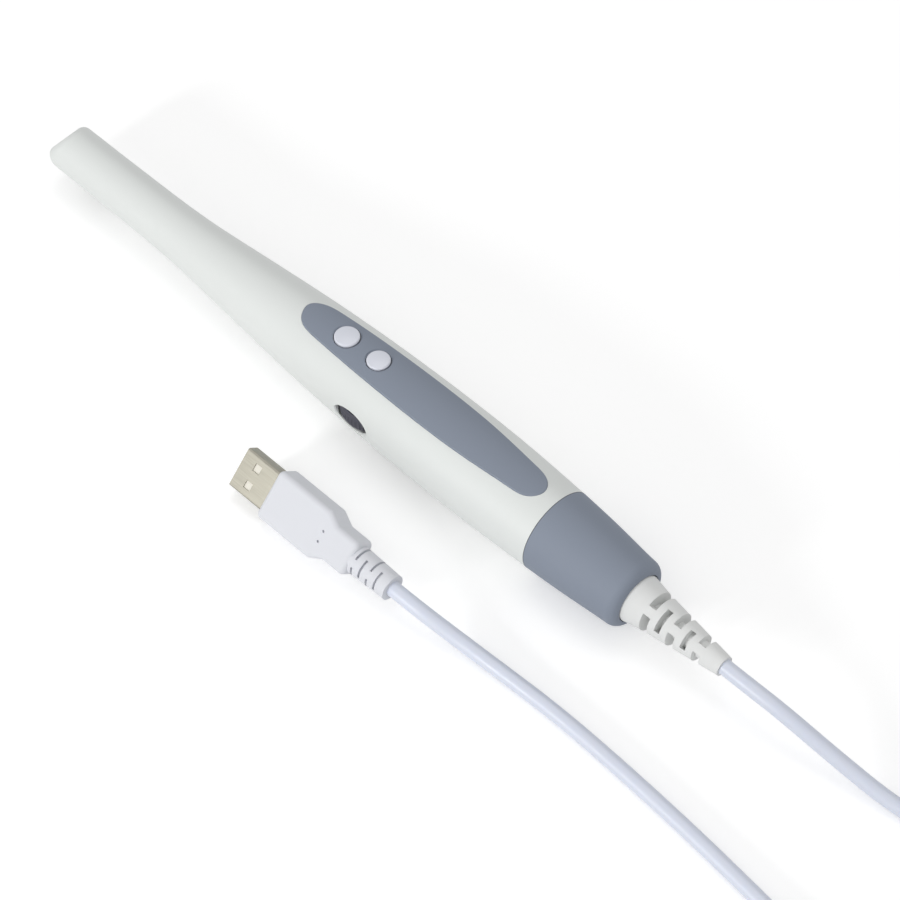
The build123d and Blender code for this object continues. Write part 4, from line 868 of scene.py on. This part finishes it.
@dataclass
class Handpiece(Assembly):
    """Barrel, rear cap, panel and buttons, and a thin dark ring of painted shade in the seam between barrel
    and cap.
    """

    seam_at: float = 30.3
    seam_radius: float = 12.4
    seam_drop: float = 0.302
    seam_width: float = 0.22
    seam_sink: float = 0.03
    seam_depth: float = 0.06
    seam_ring_count: int = 128
    seam_section_count: int = 10
    finishes: dict[str, Finish] = field(default_factory=lambda: {
        "barrel": BARREL_WHITE, "rear_cap": CAP_GREY, "control_panel": PANEL_GREY,
        "front_button": BUTTON_WHITE, "rear_button": BUTTON_WHITE, "strain_relief": RELIEF_WHITE,
        "window_cover": CLEAR, "cap_seal": SEAL_BLACK, "cord_tail": LEAD_WHITE, "cable_clamp": BRIGHT_STEEL})

    def make_seam(self) -> None:
        """A thin dark ring of painted shade where the cap meets the barrel, standing for the shade in the
        gap: a circle carried round a flat section.
        """
        u, v = ring_angles(self.seam_ring_count, self.seam_section_count)
        radius = self.seam_radius - self.seam_sink + self.seam_depth * np.sin(v)
        along = CAP_END_X + self.seam_at + self.seam_width / 2 * np.cos(v)
        height = AXIS_Z - self.seam_drop + radius * np.sin(u)
        grid = np.stack(np.broadcast_arrays(along, radius * np.cos(u), height), axis=-1)
        # The ring's dark colour is painted shade for the gap at the seam
        settle(shell_mesh("cap_seam", grid, True, True), GAP_SHADE_DARK, "handpiece")

    def make(self) -> None:
        """Dresses the solids and adds the seam's ring of painted shade."""
        super().make()
        self.make_seam()


@dataclass
class FocusDrive(Assembly):
    """Thumbwheel, axle, rack and the lens carriage."""

    finishes: dict[str, Finish] = field(default_factory=lambda: {
        "focus_wheel": WHEEL_DARK, "wheel_axle": BRIGHT_STEEL, "axle_clip": BRIGHT_STEEL,
        "focus_rod": BRIGHT_STEEL, "lens_carriage": MATT_BLACK, "rear_lens": CLEAR, "front_lens": CLEAR,
        "rear_lens_retainer": BLACK_ALLOY, "front_lens_retainer": BLACK_ALLOY, "optics_block": MATT_BLACK,
        "prism": CLEAR, "sensor_holder": MATT_BLACK, "image_sensor": SENSOR_DARK})


@dataclass
class Electronics(Assembly):
    """Boards, chips, switches, lights and the wires inside."""

    finishes: dict[str, Finish] = field(default_factory=lambda: {
        "main_board": BOARD_GREEN, "led_board": BOARD_GREEN, "sensor_board": BOARD_GREEN,
        "processor_chip": CHIP_BLACK, "usb_chip": CHIP_BLACK, "crystal": BRIGHT_STEEL,
        "lead_connector": IVORY, "inner_wires": WIRE_RED, "led_flex": AMBER_FILM,
        "sensor_ribbon": AMBER_FILM, "leds": LIGHT_YELLOW, "inner_frame": FRAME_GREY,
        "board_screws": BRIGHT_STEEL, "front_switch_body": MATT_BLACK, "rear_switch_body": MATT_BLACK,
        "front_switch_plunger": PLUNGER_RED, "rear_switch_plunger": PLUNGER_RED})


@dataclass
class Plug(Assembly):
    """The flat plug: grip, steel shell, tongue and contacts."""

    finishes: dict[str, Finish] = field(default_factory=lambda: {
        "plug_grip": GRIP_WHITE, "plug_shell": SHELL_STEEL, "plug_tongue": IVORY, "plug_contacts": GILT})


def main() -> None:
    """Builds the camera and the lead first, then the rest."""
    logging.basicConfig(level=logging.INFO, format="%(name)s: %(message)s")
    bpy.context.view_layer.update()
    studio = Studio()
    studio.make_camera()
    Lead().make_cord()
    for assembly in (Handpiece(), FocusDrive(), Electronics(), Plug()):
        assembly.make()
    studio.make()


if __name__ == "__main__":
    main()
